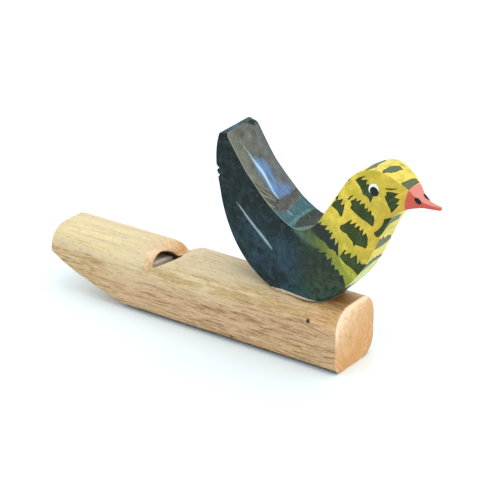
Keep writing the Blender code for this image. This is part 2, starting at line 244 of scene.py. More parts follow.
CROWN_MARKS = (
    (
        (20.6, -5.4), (20.4, -3.4), (19.2, 0.6), (18.8, 3.6), (20.2, 4.6), (22.2, 1.6), (22.1, 0.2),
        (22.4, -2.3), (23.0, -3.2), (22.4, -4.2), (21.4, -5.6),
    ),
    (
        (25.4, -5.2), (25.9, -4.3), (25.4, -3.9), (25.6, -2.6), (25.6, -1.0), (26.0, 0.3), (26.9, 2.0),
        (27.6, 1.4), (28.4, 1.6), (28.1, 0.5), (28.0, -1.4), (27.5, -3.0), (26.7, -3.8), (26.2, -5.0),
    ),
    (
        (31.1, -3.3), (31.3, -2.2), (31.5, -0.4), (31.5, 1.4), (31.8, 2.6), (33.0, 2.4), (33.2, 0.2),
        (33.4, -1.4), (33.6, -3.3), (32.3, -3.5),
    ),
    ((8.0, -4.6), (9.2, -1.4), (10.6, 0.6), (12.2, -0.8), (11.6, -4.4), (9.6, -5.4)),
    ((13.6, 5.4), (14.4, 2.4), (15.6, 1.2), (17.2, 2.4), (16.8, 5.0), (15.0, 5.8)),
)
CROWN_STROKE = (((26.1, 2.8), (27.0, 3.0), (28.3, 2.9)), (0.2, 0.22, 0.1))

# The back, as (x, y)
BACK_LINE = (
    (
        (-25.7, -3.2), (-24.3, -2.5), (-22.5, -2.0), (-20.7, -1.4), (-18.8, -1.0), (-16.3, -1.6),
        (-14.1, -2.0), (-12.1, -2.0),
    ),
    (0.05, 0.2, 0.32, 0.52, 0.52, 0.42, 0.34, 0.15),
)
BACK_BLUE = (
    (-22.2, -0.9), (-21.1, 1.6), (-20.2, 2.4), (-17.5, 2.3), (-15.9, 2.6), (-14.7, 3.3), (-13.7, 4.8),
    (-12.7, 4.5), (-12.0, 2.5), (-12.2, -0.1), (-11.9, -1.8), (-12.8, -2.5), (-17.2, -2.4), (-20.7, -2.4),
)
BACK_BRUSHED = (
    (((-15.6, -7.0), (-14.2, -6.0), (-13.1, -4.7), (-11.9, -3.6)), (0.3, 0.28, 0.24, 0.2)),
    (((-17.2, -7.0), (-15.0, -5.0), (-13.6, -3.8), (-12.2, -2.9)), (0.2, 0.2, 0.2, 0.15)),
    (((-14.2, -7.0), (-12.2, -6.6), (-11.3, -6.0), (-10.3, -5.4)), (0.35, 0.35, 0.3, 0.15)),
)
BACK_BROWN_PATCH = (
    (-12.5, -5.2), (-12.3, -3.0), (-11.9, -1.8), (-12.2, -0.1), (-12.0, 2.5), (-12.7, 4.5), (-12.6, 7.1),
    (-10.9, 7.1), (-10.1, 2.2), (-9.3, -0.4), (-8.8, -2.4), (-8.7, -3.8), (-9.3, -4.9), (-10.5, -5.1),
    (-11.7, -5.5),
)
BACK_SCALLOP = (
    (-2.9, -6.4), (-4.1, -4.5), (-4.7, -2.5), (-5.2, -0.6), (-5.4, 2.4), (-5.6, 5.2), (-5.2, 7.1),
    (2.5, 7.1), (2.0, 2.0), (0.6, -1.6), (-0.6, -2.4), (-1.6, -4.2), (-2.2, -6.0),
)
BACK_TEAL = (
    (-10.9, -7.1), (-10.0, -5.6), (-8.6, -4.6), (-8.2, -2.4), (-8.8, 0.5), (-9.8, 3.5), (-10.4, 7.1),
    (-3.5, 7.1), (0.0, -2.0), (-0.6, -7.1),
)
BACK_PALE = (
    (
        ((-4.6, -6.6), (-3.4, -7.0), (-2.1, -6.6), (-1.0, -5.3), (-0.2, -4.0), (-0.3, -2.1)),
        (0.3, 0.4, 0.4, 0.45, 0.4, 0.2),
    ),
    (
        ((-4.6, -6.4), (-4.6, -4.6), (-5.2, -2.5), (-5.7, -0.5), (-5.9, 2.4), (-6.1, 5.2)),
        (0.25, 0.35, 0.4, 0.4, 0.3, 0.2),
    ),
)
BACK_DAB = (((-8.4, -2.5), (-7.0, -2.6)), (0.3, 0.45))
BACK_END = 4.0
TAIL_FACET = ((-29.5, 1.0), (-27.9, 1.6), (-27.3, 3.4), (-26.9, 5.0), (-26.6, 7.3), (-29.5, 7.3))

# The names of the back's painted areas in the mesh
BACK_OUTLINES = {
    "blue": BACK_BLUE,
    "tail_facet": TAIL_FACET,
    "brown": BACK_BROWN_PATCH,
    "teal": BACK_TEAL,
    "scallop": BACK_SCALLOP,
}
BACK_STROKES = {"brushed": BACK_BRUSHED, "pale": BACK_PALE, "dab": (BACK_DAB,)}

# The beak's paint starts here, as (x, z)
BEAK = (
    (32.4, 53.6), (32.5, 55.3), (32.7, 57.2), (33.1, 59.1), (33.4, 60.2), (33.1, 61.2), (33.0, 66.0),
    (50.0, 66.0), (50.0, 50.0), (32.6, 50.0),
)

# Drops of paint: eye as (x, z); nostrils as centre, view along which they are round, radii, tilt
EYE = (24.3, 59.0)
EYE_WHITE = 1.75
EYE_PUPIL = 1.48
PUPIL_SHIFT = (0.25, -0.42)
NOSTRILS = (
    ("near", (35.8, -1.9, 57.5), (-0.52, 0.74, -0.42), (1.2, 0.68), 0.48),
    ("far", (36.5, 1.25, 57.8), (-0.2, -0.35, -0.92), (1.25, 0.85), -0.3),
)

# Squeezed-out glue along the foot's near side: x and radius
SQUEEZE = (
    (-11.0, 0.05), (-10.4, 0.24), (-9.8, 0.3), (-9.0, 0.34), (-8.2, 0.22), (-7.4, 0.16), (-6.6, 0.22),
    (-5.8, 0.26), (-5.0, 0.2), (-4.4, 0.1), (-3.8, 0.06), (-2.6, 0.06), (-1.6, 0.12), (-0.6, 0.16),
    (0.6, 0.1), (1.8, 0.05),
)
SQUEEZE_SIDE = -6.95
# Below this line, as (x, z), the foot's sides are bare wood with a film of glue
BARE_LINE = (
    (-12.0, 18.6), (-10.4, 19.3), (-8.6, 20.0), (-6.0, 20.2), (0.0, 20.15), (4.5, 19.95), (6.5, 19.4),
    (8.5, 18.2),
)

# Nicks that the knife left in the tail's outer edge: height and depth of each; all have the same half
# height and reach across, and none goes past this x
NICKS = ((50.8, 0.95), (48.7, 0.8))
NICK_HALF = 0.42
NICK_REACH = 1.6
NICK_LIMIT = -29.0

# The glue in the seat: its ends and half width in the bird's millimetres, and how square its outline is
GLUE_TAIL = 10.9
GLUE_NOSE = 7.6
GLUE_HALF = 6.75
GLUE_SQUARENESS = 0.72
GLUE_RINGS = 14
GLUE_SIDES = 96
SQUEEZE_SIDES = 8

# Drops are domes of this many rings and sides; the rim is sunk a little, and the foot goes deeper still
DROP_RINGS = 10
DROP_SIDES = 48
DROP_FOOT = 0.25
DROP_SINK = 0.12

# Depth, inside a painted area, of a vertex on a face that the area can't reach
OUTSIDE = -9.0

# The yellow's lower end on the nape and on the breast, each past its own x, in rounded teeth:
# height of the teeth's tips, their length, and how close together they are
NAPE_START = 2.0
NAPE_TEETH = (45.5, 1.2, 1.3)
BREAST_START = 8.0
BREAST_TEETH = (24.6, 1.0, 1.6)

# Voxels of the stick's and the plug's meshes, how far their edges are eased, and the weld before that
VOXEL = 0.38
EASE_FACTOR = 0.5
WELD_REACH = 0.001


# ---------------------------------------------------------------- outlines and distances

def segment_distance(points, start, end):
    """Distance of each point from a segment, and how far along it the nearest place is."""
    start = np.array(start, float)
    along = np.array(end, float) - start
    share = np.clip(((points - start) @ along) / (along @ along), 0.0, 1.0)
    return np.linalg.norm(points - start - share[:, None] * along, axis=1), share


def inside_distance(points, outline):
    """Distance from an outline, positive inside it."""
    best = np.full(len(points), 1e9)
    inside = np.zeros(len(points), bool)
    for (ax, ay), (bx, by) in zip(outline, outline[1:] + outline[:1]):
        distance, _ = segment_distance(points, (ax, ay), (bx, by))
        best = np.minimum(best, distance)
        crosses = (ay > points[:, 1]) != (by > points[:, 1])
        if ay != by:
            at = ax + (points[:, 1] - ay) * (bx - ax) / (by - ay)
            inside ^= crosses & (points[:, 0] < at)
    return np.where(inside, best, -best)


def stroke_distance(points, path, halves):
    """Distance inside a brush stroke along a path, with its half width at each of the path's points."""
    best = np.full(len(points), -1e9)
    for start, end, first, last in zip(path, path[1:], halves, halves[1:]):
        distance, share = segment_distance(points, start, end)
        best = np.maximum(best, first + (last - first) * share - distance)
    return best


def outlines_distance(points, outlines):
    """Distance inside whichever of several outlines is deepest."""
    return np.max([inside_distance(points, outline) for outline in outlines], axis=0)


def strokes_distance(points, strokes):
    return np.max([stroke_distance(points, path, halves) for path, halves in strokes], axis=0)


# ---------------------------------------------------------------- the bird's mesh

def rib_at(place):
    """The rib at a place counted in ribs from the tail, on the smooth curve through all of them."""
    k = min(int(place), len(RIBS) - 2)
    t = place - k
    before, here, after, later = (
        np.array(RIBS[max(0, min(len(RIBS) - 1, k + step))], float) for step in (-1, 0, 1, 2)
    )
    return 0.5 * (
        2 * here + (after - before) * t + (2 * before - 5 * here + 4 * after - later) * t * t
        + (3 * here - before - 3 * after + later) * t ** 3
    )


def seat_height(y):
    """Height of the bird's coped seat over the stick's rounded top."""
    y = np.asarray(y, float)
    height = np.full(y.shape, STICK_TOP + SEAT_GAP)
    for sign, radius in ((-1, TOP_RADII[0]), (1, TOP_RADII[1])):
        over = sign * y - (STICK_HALF - radius)
        reach = radius + SEAT_GAP
        curved = STICK_TOP - radius + np.sqrt(np.maximum(reach ** 2 - over ** 2, 0.0))
        height = np.where(over > 0, curved, height)
    return height


def graded(total, radius, steps):
    """Distances from 0 to total, with a few close steps inside each rounded end."""
    edge = [radius * k / EDGE_STEPS for k in range(EDGE_STEPS)]
    middle = np.linspace(radius, total - radius, steps - 2 * EDGE_STEPS + 1)
    return np.concatenate((edge, middle, [total - d for d in reversed(edge)]))


def half_width(rib, share, length):
    outer_half, inner_half, reach, cheek = rib[4:8]
    left = np.maximum(0.0, 1.0 - share * length / reach)
    return inner_half - (inner_half - outer_half) * left ** 1.6 + cheek * np.sin(math.pi * share)


def round_corner(loop, corner):
    """Bends the few points on both sides of a loop's corner onto a curve between them."""
    count = len(loop)
    first = loop[(corner - EDGE_STEPS) % count].copy()
    last = loop[(corner + EDGE_STEPS) % count].copy()
    middle = loop[corner].copy()
    for k in range(-EDGE_STEPS + 1, EDGE_STEPS):
        t = (k + EDGE_STEPS) / (2 * EDGE_STEPS)
        loop[(corner + k) % count] = (1 - t) ** 2 * first + 2 * t * (1 - t) * middle + t * t * last


def section(rib, place):
    """The closed loop of the surface on one rib, with rounded corners and the seat cut out of it."""
    outer, inner = np.array((rib[0], 0.0, rib[1])), np.array((rib[2], 0.0, rib[3]))
    length = np.linalg.norm(inner - outer)
    up = (inner - outer) / length
    swell = SWELL * float(np.clip((SWELL_LAST - place) / SWELL_FADE, 0, 1))
    outer, inner, length = outer - up * swell, inner + up * swell, length + 2 * swell
    start = 0.0
    for _ in range(4):
        y = half_width(rib, start / length, length)
        start = max(0.0, float((seat_height(y) - outer[2]) / up[2])) if up[2] > SEAT_SLOPE else 0.0
    shown = length - start
    radius = min(EDGE_RADIUS, 0.32 * min(shown, 2 * rib[4], 2 * rib[5]))
    rise = start + graded(shown, radius, ROWS)
    width = half_width(rib, rise / length, length)
    near = outer + rise[:, None] * up
    near[:, 1] = -width
    far = near[::-1] * np.array((1.0, -1.0, 1.0))
    top_half, low_half = width[-1], width[0]
    across = graded(2 * top_half, radius, COLUMNS)[1:-1] - top_half
    crown = inner + up * (rib[8] * (1 - (across / top_half) ** 2))[:, None]
    crown[:, 1] = across
    under = low_half - graded(2 * low_half, radius, COLUMNS)[1:-1]
    keel_rise = np.zeros(len(under))
    if up[2] > SEAT_SLOPE:
        keel_rise = np.maximum(0.0, (seat_height(under) - outer[2]) / up[2])
    keel = outer + keel_rise[:, None] * up
    keel[:, 1] = under
    loop = np.concatenate((near, crown, far, keel))
    for corner in (0, ROWS, ROWS + COLUMNS, 2 * ROWS + COLUMNS):
        round_corner(loop, corner)
    skew = TAIL_SKEW * max(0.0, 1 - place / TAIL_SKEW_RIBS)
    loop[:, 2] += skew * (loop[:, 1] / top_half + 1) / 2
    return loop


def shrink(loop, rib, inset):
    """Draws a loop in towards the middle of its rib."""
    middle = np.array(((rib[0] + rib[2]) / 2, 0.0, (rib[1] + rib[3]) / 2))
    up = np.array((rib[2] - rib[0], 0.0, rib[3] - rib[1]))
    length = np.linalg.norm(up)
    up /= length
    offset = loop - middle
    rise = offset @ up
    side = offset[:, 1]
    rise_scale = 1 - inset / max(np.abs(rise).max(), 1e-6)
    side_scale = 1 - inset / max(np.abs(side).max(), 1e-6)
    drift = offset - np.outer(rise, up)
    drift[:, 1] = 0.0
    return middle + drift + np.outer(rise * rise_scale, up) + np.outer(side * side_scale, (0, 1, 0))


def rib_places():
    """Places of all stations with how far each is drawn in: the two ends are rounded over."""
    gaps = [np.linalg.norm(rib_at(k + 1)[:4] - rib_at(k)[:4]) / 1.4 for k in (0, len(RIBS) - 2)]
    ends = []
    for gap, rounding in zip(gaps, (TAIL_ROUNDING, BEAK_ROUNDING)):
        angles = [math.radians(22.5 * k) for k in range(4)]
        ends.append([(rounding * (1 - math.cos(a)) / gap, rounding * (1 - math.sin(a))) for a in angles])
    last = len(RIBS) - 1
    places = list(ends[0])
    start, stop = TAIL_ROUNDING / gaps[0], last - BEAK_ROUNDING / gaps[1]
    for k, count in enumerate(STATIONS):
        places += [(k + j / count, 0.0) for j in range(count) if start < k + j / count < stop]
    places += [(last - place, inset) for place, inset in reversed(ends[1])]
    return places


def whittle(points):
    """Slight unevenness that the knife left, always inwards."""
    for k, p in enumerate(points):
        wave = noise.noise(Vector((p[0] * 0.16, p[1] * 0.35 + 7.0, p[2] * 0.16)))
        fine = noise.noise(Vector((p[0] * 0.6, p[1] * 0.8, p[2] * 0.6 + 3.0)))
        points[k, 1] *= 1 - WHITTLING * (0.5 + 0.5 * wave + 0.2 * fine) / max(abs(p[1]), 2.0)
    return points


def nick(points):
    """The nicks in the near corner of the tail's outer edge."""
    for height, depth in NICKS:
        reach = np.hypot((points[:, 2] - height) / NICK_HALF, (points[:, 1] + TAIL_NEAR) / NICK_REACH)
        pull = depth * np.exp(-reach ** 2) * (points[:, 0] < NICK_LIMIT)
        points[:, 0] += pull
    return points


def round_tail(points):
    """Rounds the tail's end off towards both sides, and most at the far corner of its inner edge."""
    x, y, z = points.T
    end = TAIL_END + TAIL_SKEW * (y / TAIL_HALF + 1) / 2
    radius = np.where(y > 0, TAIL_FAR_RADIUS, TAIL_NEAR_RADIUS)
    short = np.clip(radius - (end - z), 0.0, radius)
    pull = radius - np.sqrt(radius ** 2 - short ** 2)
    across = (x - RIBS[0][0]) / (RIBS[0][2] - RIBS[0][0])
    inner = np.where(y > 0, np.clip(across, TAIL_OUTER_SHARE, 1.0), 1.0)
    points[:, 1] *= 1 - np.where(x < TAIL_LIMIT, pull * inner, 0.0) / TAIL_HALF
    return points


def bird_grid():
    """All loops from the tail to the beak as one array."""
    loops = []
    for place, inset in rib_places():
        rib = rib_at(place)
        loop = section(rib, place)
        loops.append(shrink(loop, rib, inset) if inset > 0 else loop)
    return np.array(loops)


def cap_points(loop):
    """Points inside an end's loop, row by row between its near and its far side."""
    inner = []
    near, far = loop[: ROWS + 1], loop[ROWS + COLUMNS: 2 * ROWS + COLUMNS + 1][::-1]
    shares = graded(1.0, 0.08, COLUMNS)[1:-1]
    for row in range(1, ROWS):
        for share in shares:
            inner.append(near[row] + share * (far[row] - near[row]))
    return np.array(inner)


def cap_faces(loop_index, inner_start, flip):
    """Faces of an end, from the loop's own vertices round the cap's inner ones."""
    columns = COLUMNS - 1

    def vertex(row, column):
        if row == 0:
            return loop_index[(-column) % len(loop_index)]
        if row == ROWS:
            return loop_index[ROWS + column]
        if column == 0:
            return loop_index[row]
        if column == COLUMNS:
            return loop_index[2 * ROWS + COLUMNS - row]
        return inner_start + (row - 1) * columns + column - 1

    faces = []
    for row in range(ROWS):
        for column in range(COLUMNS):
            corners = ((row, column), (row, column + 1), (row + 1, column + 1), (row + 1, column))
            quad = [vertex(*corner) for corner in corners]
            faces.append(quad[::-1] if flip else quad)
    return faces


def bird_place():
    return Matrix.Translation(Vector(BIRD_PIVOT) * MM) @ Matrix.Rotation(BIRD_YAW, 4, "Z")


def new_object(name, mesh):
    made = bpy.data.objects.new(name, mesh)
    bpy.context.scene.collection.objects.link(made)
    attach(made, "root")
    return made


def store(mesh, name, values):
    layer = mesh.attributes.new(name, "FLOAT", "POINT")
    layer.data.foreach_set("value", np.asarray(values, np.float32))


def bird_mesh():
    """The mesh in the row frame, with each vertex's place in the bird's own millimetres."""
    loops = bird_grid()
    stations, count, _ = loops.shape
    points = loops.reshape(-1, 3)
    tail_cap, beak_cap = cap_points(loops[0]), cap_points(loops[-1])
    faces = []
    for a in range(stations - 1):
        for k in range(count):
            after = (k + 1) % count
            faces.append((a * count + k, a * count + after, (a + 1) * count + after, (a + 1) * count + k))
    body_count = len(points)
    faces += cap_faces(list(range(count)), body_count, False)
    last = [(stations - 1) * count + k for k in range(count)]
    faces += cap_faces(last, body_count + len(tail_cap), True)
    points = np.concatenate((points, tail_cap, beak_cap))
    points = round_tail(nick(whittle(points)))
    place = bird_place()
    mesh = bpy.data.meshes.new("painted_bird")
    mesh.from_pydata([place @ Vector(p * MM) for p in points], [], faces)
    mesh.update()
    tidy = bmesh.new()
    tidy.from_mesh(mesh)
    bmesh.ops.recalc_face_normals(tidy, faces=tidy.faces)
    tidy.to_mesh(mesh)
    tidy.free()
    mesh.shade_smooth()
    return mesh, points, stations, count


def loop_places(points, stations, count):
    """Each vertex's number, its place round its loop, and whether it is on a loop and not on a cap."""
    index = np.arange(len(points))
    return index, index % count, index < stations * count


def regions(points, stations, count):
    """Which face each vertex is on: 0 side, 1 nape and crown and back, 2 breast and belly, 3 tail's end."""
    index, ring, on_body = loop_places(points, stations, count)
    result = np.zeros(len(points), int)
    result[on_body & (ring > ROWS) & (ring < ROWS + COLUMNS)] = 1
    result[on_body & (ring > 2 * ROWS + COLUMNS)] = 2
    cap = (COLUMNS - 1) * (ROWS - 1)
    result[(~on_body) & (index < stations * count + cap)] = 3
    return result


def flow(points, stations, count):
    """Length along the bird and distance across it, for brush marks."""
    index, ring, on_body = loop_places(points, stations, count)
    body = points[: stations * count].reshape(stations, count, 3)
    steps = np.linalg.norm(np.diff(body.mean(axis=1), axis=0), axis=1)
    along = np.concatenate(([0.0], np.cumsum(steps)))
    widths = np.cumsum(np.linalg.norm(np.diff(body, axis=1), axis=2), axis=1)
    result = np.zeros((len(points), 3))
    result[on_body, 0] = along[index[on_body] // count]
    result[on_body, 1] = np.concatenate((np.zeros((stations, 1)), widths), axis=1).reshape(-1)
    top = on_body & (ring >= ROWS) & (ring <= ROWS + COLUMNS)
    result[top, 1] = points[top, 1]
    result[~on_body, :2] = points[~on_body, :2]
    return result


def mark_depth(profile, plan, height, side, top, front):
    """Depth inside the green marks of the sides, the breast and the crown."""
    mark = np.full(len(profile), OUTSIDE)
    outlined = outlines_distance(profile[side], SIDE_MARKS)
    mark[side] = np.maximum(outlined, strokes_distance(profile[side], SIDE_STROKES))
    on_breast = profile[front, 0] > BREAST_START
    mark[front] = np.where(on_breast, outlines_distance(height[front], BREAST_MARKS), OUTSIDE)
    outlined = outlines_distance(plan[top], CROWN_MARKS)
    mark[top] = np.maximum(outlined, strokes_distance(plan[top], (CROWN_STROKE,)))
    return mark


def yellow_depth(points, profile, top, front, tail):
    """Depth inside the yellow, which ends in teeth on the nape and on the breast."""
    x, y, z = points.T
    yellow = inside_distance(profile, NECK)
    for face, start, teeth in ((top, NAPE_START, NAPE_TEETH), (front, BREAST_START, BREAST_TEETH)):
        level, length, closeness = teeth
        above = z - level - length * np.abs(np.sin(y * closeness))
        yellow[face] = np.where(x > start, above, OUTSIDE)[face]
    yellow[tail] = OUTSIDE
    return yellow


def edge_reach(points, stations, count):
    """Half width of the back at each vertex's station; the caps are far from both edges."""
    loops = points[: stations * count].reshape(stations, count, 3)
    reach = np.repeat(np.abs(loops[:, ROWS: ROWS + COLUMNS + 1, 1]).max(axis=1), count)
    return np.concatenate((reach, np.full(len(points) - len(reach), 99.0)))


def paint(mesh, points, stations, count):
    """Stores how deep each vertex lies inside each painted area, in millimetres."""
    region = regions(points, stations, count)
    x, y, z = points.T
    side, top, front, tail = (region == k for k in range(4))
    profile, plan, height = (np.column_stack(pair) for pair in ((x, z), (x, y), (z, y)))
    reach = edge_reach(points, stations, count)

    def on_face(face, distance, places, areas):
        values = np.full(len(points), OUTSIDE)
        values[face] = distance(places[face], areas)
        return values

    layers = {
        "mark": mark_depth(profile, plan, height, side, top, front),
        "yellow": yellow_depth(points, profile, top, front, tail),
        "band": on_face(side, inside_distance, profile, BAND),
        "shoulder": inside_distance(profile, SHOULDER),
        "moss": on_face(side, inside_distance, profile, MOSS),
        "bare": np.where(side | front, np.interp(x, *zip(*BARE_LINE)) - z, OUTSIDE),
        "back": np.where(top, BACK_END - x, np.where(tail, -OUTSIDE, OUTSIDE)),
        "white": on_face(top, strokes_distance, plan, (BACK_LINE,)),
        "beak": inside_distance(profile, BEAK),
        "facet": (region > 0).astype(float),
        "tail_end": tail.astype(float),
        "far_edge": reach - y,
        "near_edge": reach + y,
        "bird_x": x,
        "bird_y": y,
        "bird_z": z,
    }
    layers["white"][side] = strokes_distance(profile[side], (SIDE_LINE,))
    for name, outline in BACK_OUTLINES.items():
        layers[name] = on_face(top, inside_distance, plan, outline)
    for name, strokes in BACK_STROKES.items():
        layers[name] = on_face(top, strokes_distance, plan, strokes)
    for name, values in layers.items():
        store(mesh, name, values)
    brushed = mesh.attributes.new("flow", "FLOAT_VECTOR", "POINT")
    brushed.data.foreach_set("vector", flow(points, stations, count).astype(np.float32).ravel())


# ---------------------------------------------------------------- material helpers

class Graph:
    """A material's node tree with short ways to add the nodes used here."""

    def __init__(self, name):
        self.material = bpy.data.materials.new(name)
        self.material.use_nodes = True
        self.nodes = self.material.node_tree.nodes
        self.links = self.material.node_tree.links
        self.shader = self.nodes["Principled BSDF"]

    def put(self, socket, value):
        """Links a socket to another, or gives it a number, a vector or a colour."""
        if isinstance(value, bpy.types.NodeSocket):
            self.links.new(value, socket)
        elif socket.type == "RGBA":
            socket.default_value = (*value, 1.0)
        else:
            socket.default_value = value

    def add(self, kind, inputs, **settings):
        """A new node with its settings; its inputs are given by name or by number."""
        node = self.nodes.new("ShaderNode" + kind)
        for name, value in settings.items():
            setattr(node, name, value)
        for key, value in inputs.items():
            self.put(node.inputs[key], value)
        return node

    def math(self, operation, *values):
        return self.add("Math", dict(enumerate(values)), operation=operation).outputs[0]

    def vector(self, operation, *values):
        node = self.add("VectorMath", dict(enumerate(values)), operation=operation)
        return node.outputs["Value" if operation in ("LENGTH", "DISTANCE") else "Vector"]

    def place(self):
        """Position in millimetres in the row frame."""
        metres = self.add("TexCoord", {}).outputs["Object"]
        return self.vector("MULTIPLY", metres, (1 / MM, 1 / MM, 1 / MM))

    def attribute(self, name, output="Fac"):
        return self.add("Attribute", {}, attribute_name=name).outputs[output]

    def parts(self, vector):
        return self.add("SeparateXYZ", {0: vector}).outputs

    def join(self, *parts):
        return self.add("CombineXYZ", dict(enumerate(parts))).outputs[0]

    def noise(self, where, scale, detail=2.0, roughness=0.5, stretch=None, distortion=0.0):
        if stretch is not None:
            where = self.vector("MULTIPLY", where, stretch)
        inputs = {"Vector": where, "Scale": scale, "Detail": detail, "Roughness": roughness}
        return self.add("TexNoise", inputs | {"Distortion": distortion}).outputs["Fac"]

    def step(self, value, low, high, start=0.0, end=1.0):
        """Goes smoothly from start to end as a value goes from low to high."""
        inputs = {"Value": value, "From Min": low, "From Max": high, "To Min": start, "To Max": end}
        return self.add("MapRange", inputs, interpolation_type="SMOOTHSTEP").outputs[0]

    def mix(self, share, a, b):
        """The colour a with so much of b in it. Inputs 6 and 7 are the node's colours."""
        return self.add("Mix", {0: share, 6: a, 7: b}, data_type="RGBA").outputs[2]

    def times(self, first, *others):
        """The product of several values."""
        for other in others:
            first = self.math("MULTIPLY", first, other)
        return first

    def plus(self, a, b):
        return self.math("ADD", a, b)

    def minus(self, a, b):
        return self.math("SUBTRACT", a, b)

    def sum_of(self, a, factor, b):
        """a times a factor, plus b."""
        return self.math("MULTIPLY_ADD", a, factor, b)

    def sway(self, noise, reach, around):
        """A value that a noise moves up and down."""
        return self.sum_of(self.minus(noise, 0.5), reach, around)

    def cover(self, base, colour, *shares):
        """A colour over the base by the product of its shares."""
        return self.mix(self.times(*shares), base, colour)

    def wash(self, base, colour, value, low, high, most):
        """A colour over the base that comes in between two limits of a value, up to a share."""
        return self.mix(self.step(value, low, high, 0.0, most), base, colour)

    def bump(self, height, strength, distance):
        inputs = {"Height": height, "Strength": strength, "Distance": distance * MM}
        self.links.new(self.add("Bump", inputs).outputs[0], self.shader.inputs["Normal"])

    def finish(self, colour, roughness, specular):
        self.put(self.shader.inputs["Base Color"], colour)
        self.put(self.shader.inputs["Roughness"], roughness)
        self.shader.inputs["Specular IOR Level"].default_value = specular
        return self.material


# ---------------------------------------------------------------- materials

WOOD_PALE = (0.80, 0.65, 0.355)
WOOD_CREAM = (0.70, 0.545, 0.34)
WOOD_LIGHT = (0.78, 0.63, 0.41)
WOOD_SIDE = (0.61, 0.415, 0.230)
WOOD_ROSE = (0.555, 0.335, 0.190)
WOOD_GOLD = (0.52, 0.335, 0.125)
WOOD_DASH = (0.235, 0.120, 0.045)
WOOD_FLECK = (0.76, 0.55, 0.33)
WOOD_FLAME = (0.46, 0.285, 0.10)
WOOD_AMBER = (0.64, 0.345, 0.14)
EDGE_SHADE = (0.055, 0.032, 0.012)
END_LIGHT = (1.0, 0.70, 0.45)
END_RIM_HIGHLIGHT = (1.0, 0.76, 0.50)
END_MIDDLE = (0.74, 0.43, 0.205)
END_LOW = (0.66, 0.325, 0.11)
STAIN = (0.33, 0.13, 0.035)
SPOTS = (((41.9, -10.0, 14.8), 0.80), ((41.2, -9.8, 15.9), 0.45), ((15.6, -10.0, 2.1), 0.58))
SPOT_COLOUR = (0.05, 0.03, 0.04)
BORE_SHADE = (0.13, 0.075, 0.045)
DOWEL_PALE = (0.98, 0.80, 0.63)
DOWEL_BROWN = (0.78, 0.61, 0.46)
DOWEL_DOT = (0.36, 0.29, 0.22)
GLUE_BROWN_AND_SHADE = (0.17, 0.115, 0.07)
GLUE_CREAM = (0.50, 0.37, 0.25)
FLOOR_COLOURS = ((0.905, 0.965, 0.992), (0.91, 0.97, 0.997))
EYE_COLOURS = ((0.86, 0.86, 0.80), (0.78, 0.78, 0.70))
BLACK_COLOURS = ((0.005, 0.005, 0.006), (0.010, 0.011, 0.014))

# The pith's place in the section, the heart of the stain, and where the bore ends, in millimetres
PITH = (-2.5, 9.5)
STAIN_AT = (47.0, -1.5)
BORE_ENDS = (-48.0, 39.5)


def along_grain(g, where):
    """The place seen along the grain: slow in x, with the lines swaying a little."""
    x, y, z = g.parts(where)
    drift = g.noise(where, 1.0, 2.0, stretch=(0.03, 0.12, 0.12))
    sway = g.times(g.minus(drift, 0.5), 3.0)
    return g.join(g.times(x, 0.06), g.plus(y, sway), g.plus(z, sway))


def plain_grain(g, x, z, bands, cluster):
    """The bare wood's colours, darker down the side partly as painted shade, and how low a place lies on
    the stick's side: 0 on top, 1 below.
    """
    height = g.plus(g.sum_of(g.math("MAXIMUM", x, -10.0), -0.15, z), g.times(g.minus(bands, 0.5), 12.0))
    low = g.step(g.minus(height, g.step(x, -22.0, -40.0, 0.0, 2.5)), 17.5, 8.5)
    pale = g.mix(g.step(x, -38.0, -5.0), WOOD_PALE, WOOD_CREAM)
    top = g.mix(g.step(bands, 0.38, 0.64), pale, WOOD_CREAM)
    side = g.mix(g.step(cluster, 0.42, 0.60), WOOD_SIDE, WOOD_ROSE)
    # The side is darker than the top: partly the wood's redder side, partly painted shade for the side that
    # the lamp lights less.
    base = g.mix(low, top, side)
    return g.cover(base, WOOD_GOLD, low, g.step(x, -25.0, -36.0, 0.0, 0.42)), low


def figured_grain(g, x, z, lines, base):
    """Gold, rose and amber streaks, with flames along the upper edge of the near side."""
    gold = g.noise(lines, 0.90, 3.0, 0.6, stretch=(1.35, 1.0, 1.0))
    flame = g.noise(lines, 0.62, 4.0, 0.7, stretch=(2.6, 1.0, 1.0))
    lift = g.sum_of(x, -0.05, z)
    edge = g.times(g.step(lift, 12.4, 14.2), g.step(lift, 18.4, 16.4))
    right = g.step(x, -20.0, 46.0, 0.0, 0.10)
    keel = g.step(z, 6.5, 2.0, 0.0, 0.12)
    golden = g.step(g.plus(g.sum_of(edge, 0.05, gold), g.plus(right, keel)), 0.54, 0.72)
    base = g.cover(base, WOOD_GOLD, golden, g.step(x, -38.0, -15.0, 0.25, 0.56))
    rosy = g.times(g.step(lift, 4.0, 7.5), g.step(lift, 13.5, 10.5))
    base = g.cover(base, WOOD_ROSE, rosy, g.step(x, -45.0, -30.0, 0.0, 0.42))
    base = g.cover(base, WOOD_FLAME, edge, g.step(flame, 0.46, 0.54), g.step(x, -30.0, -12.0, 0.0, 0.70))
    return g.cover(base, WOOD_LIGHT, edge, g.step(flame, 0.42, 0.34), 0.60)


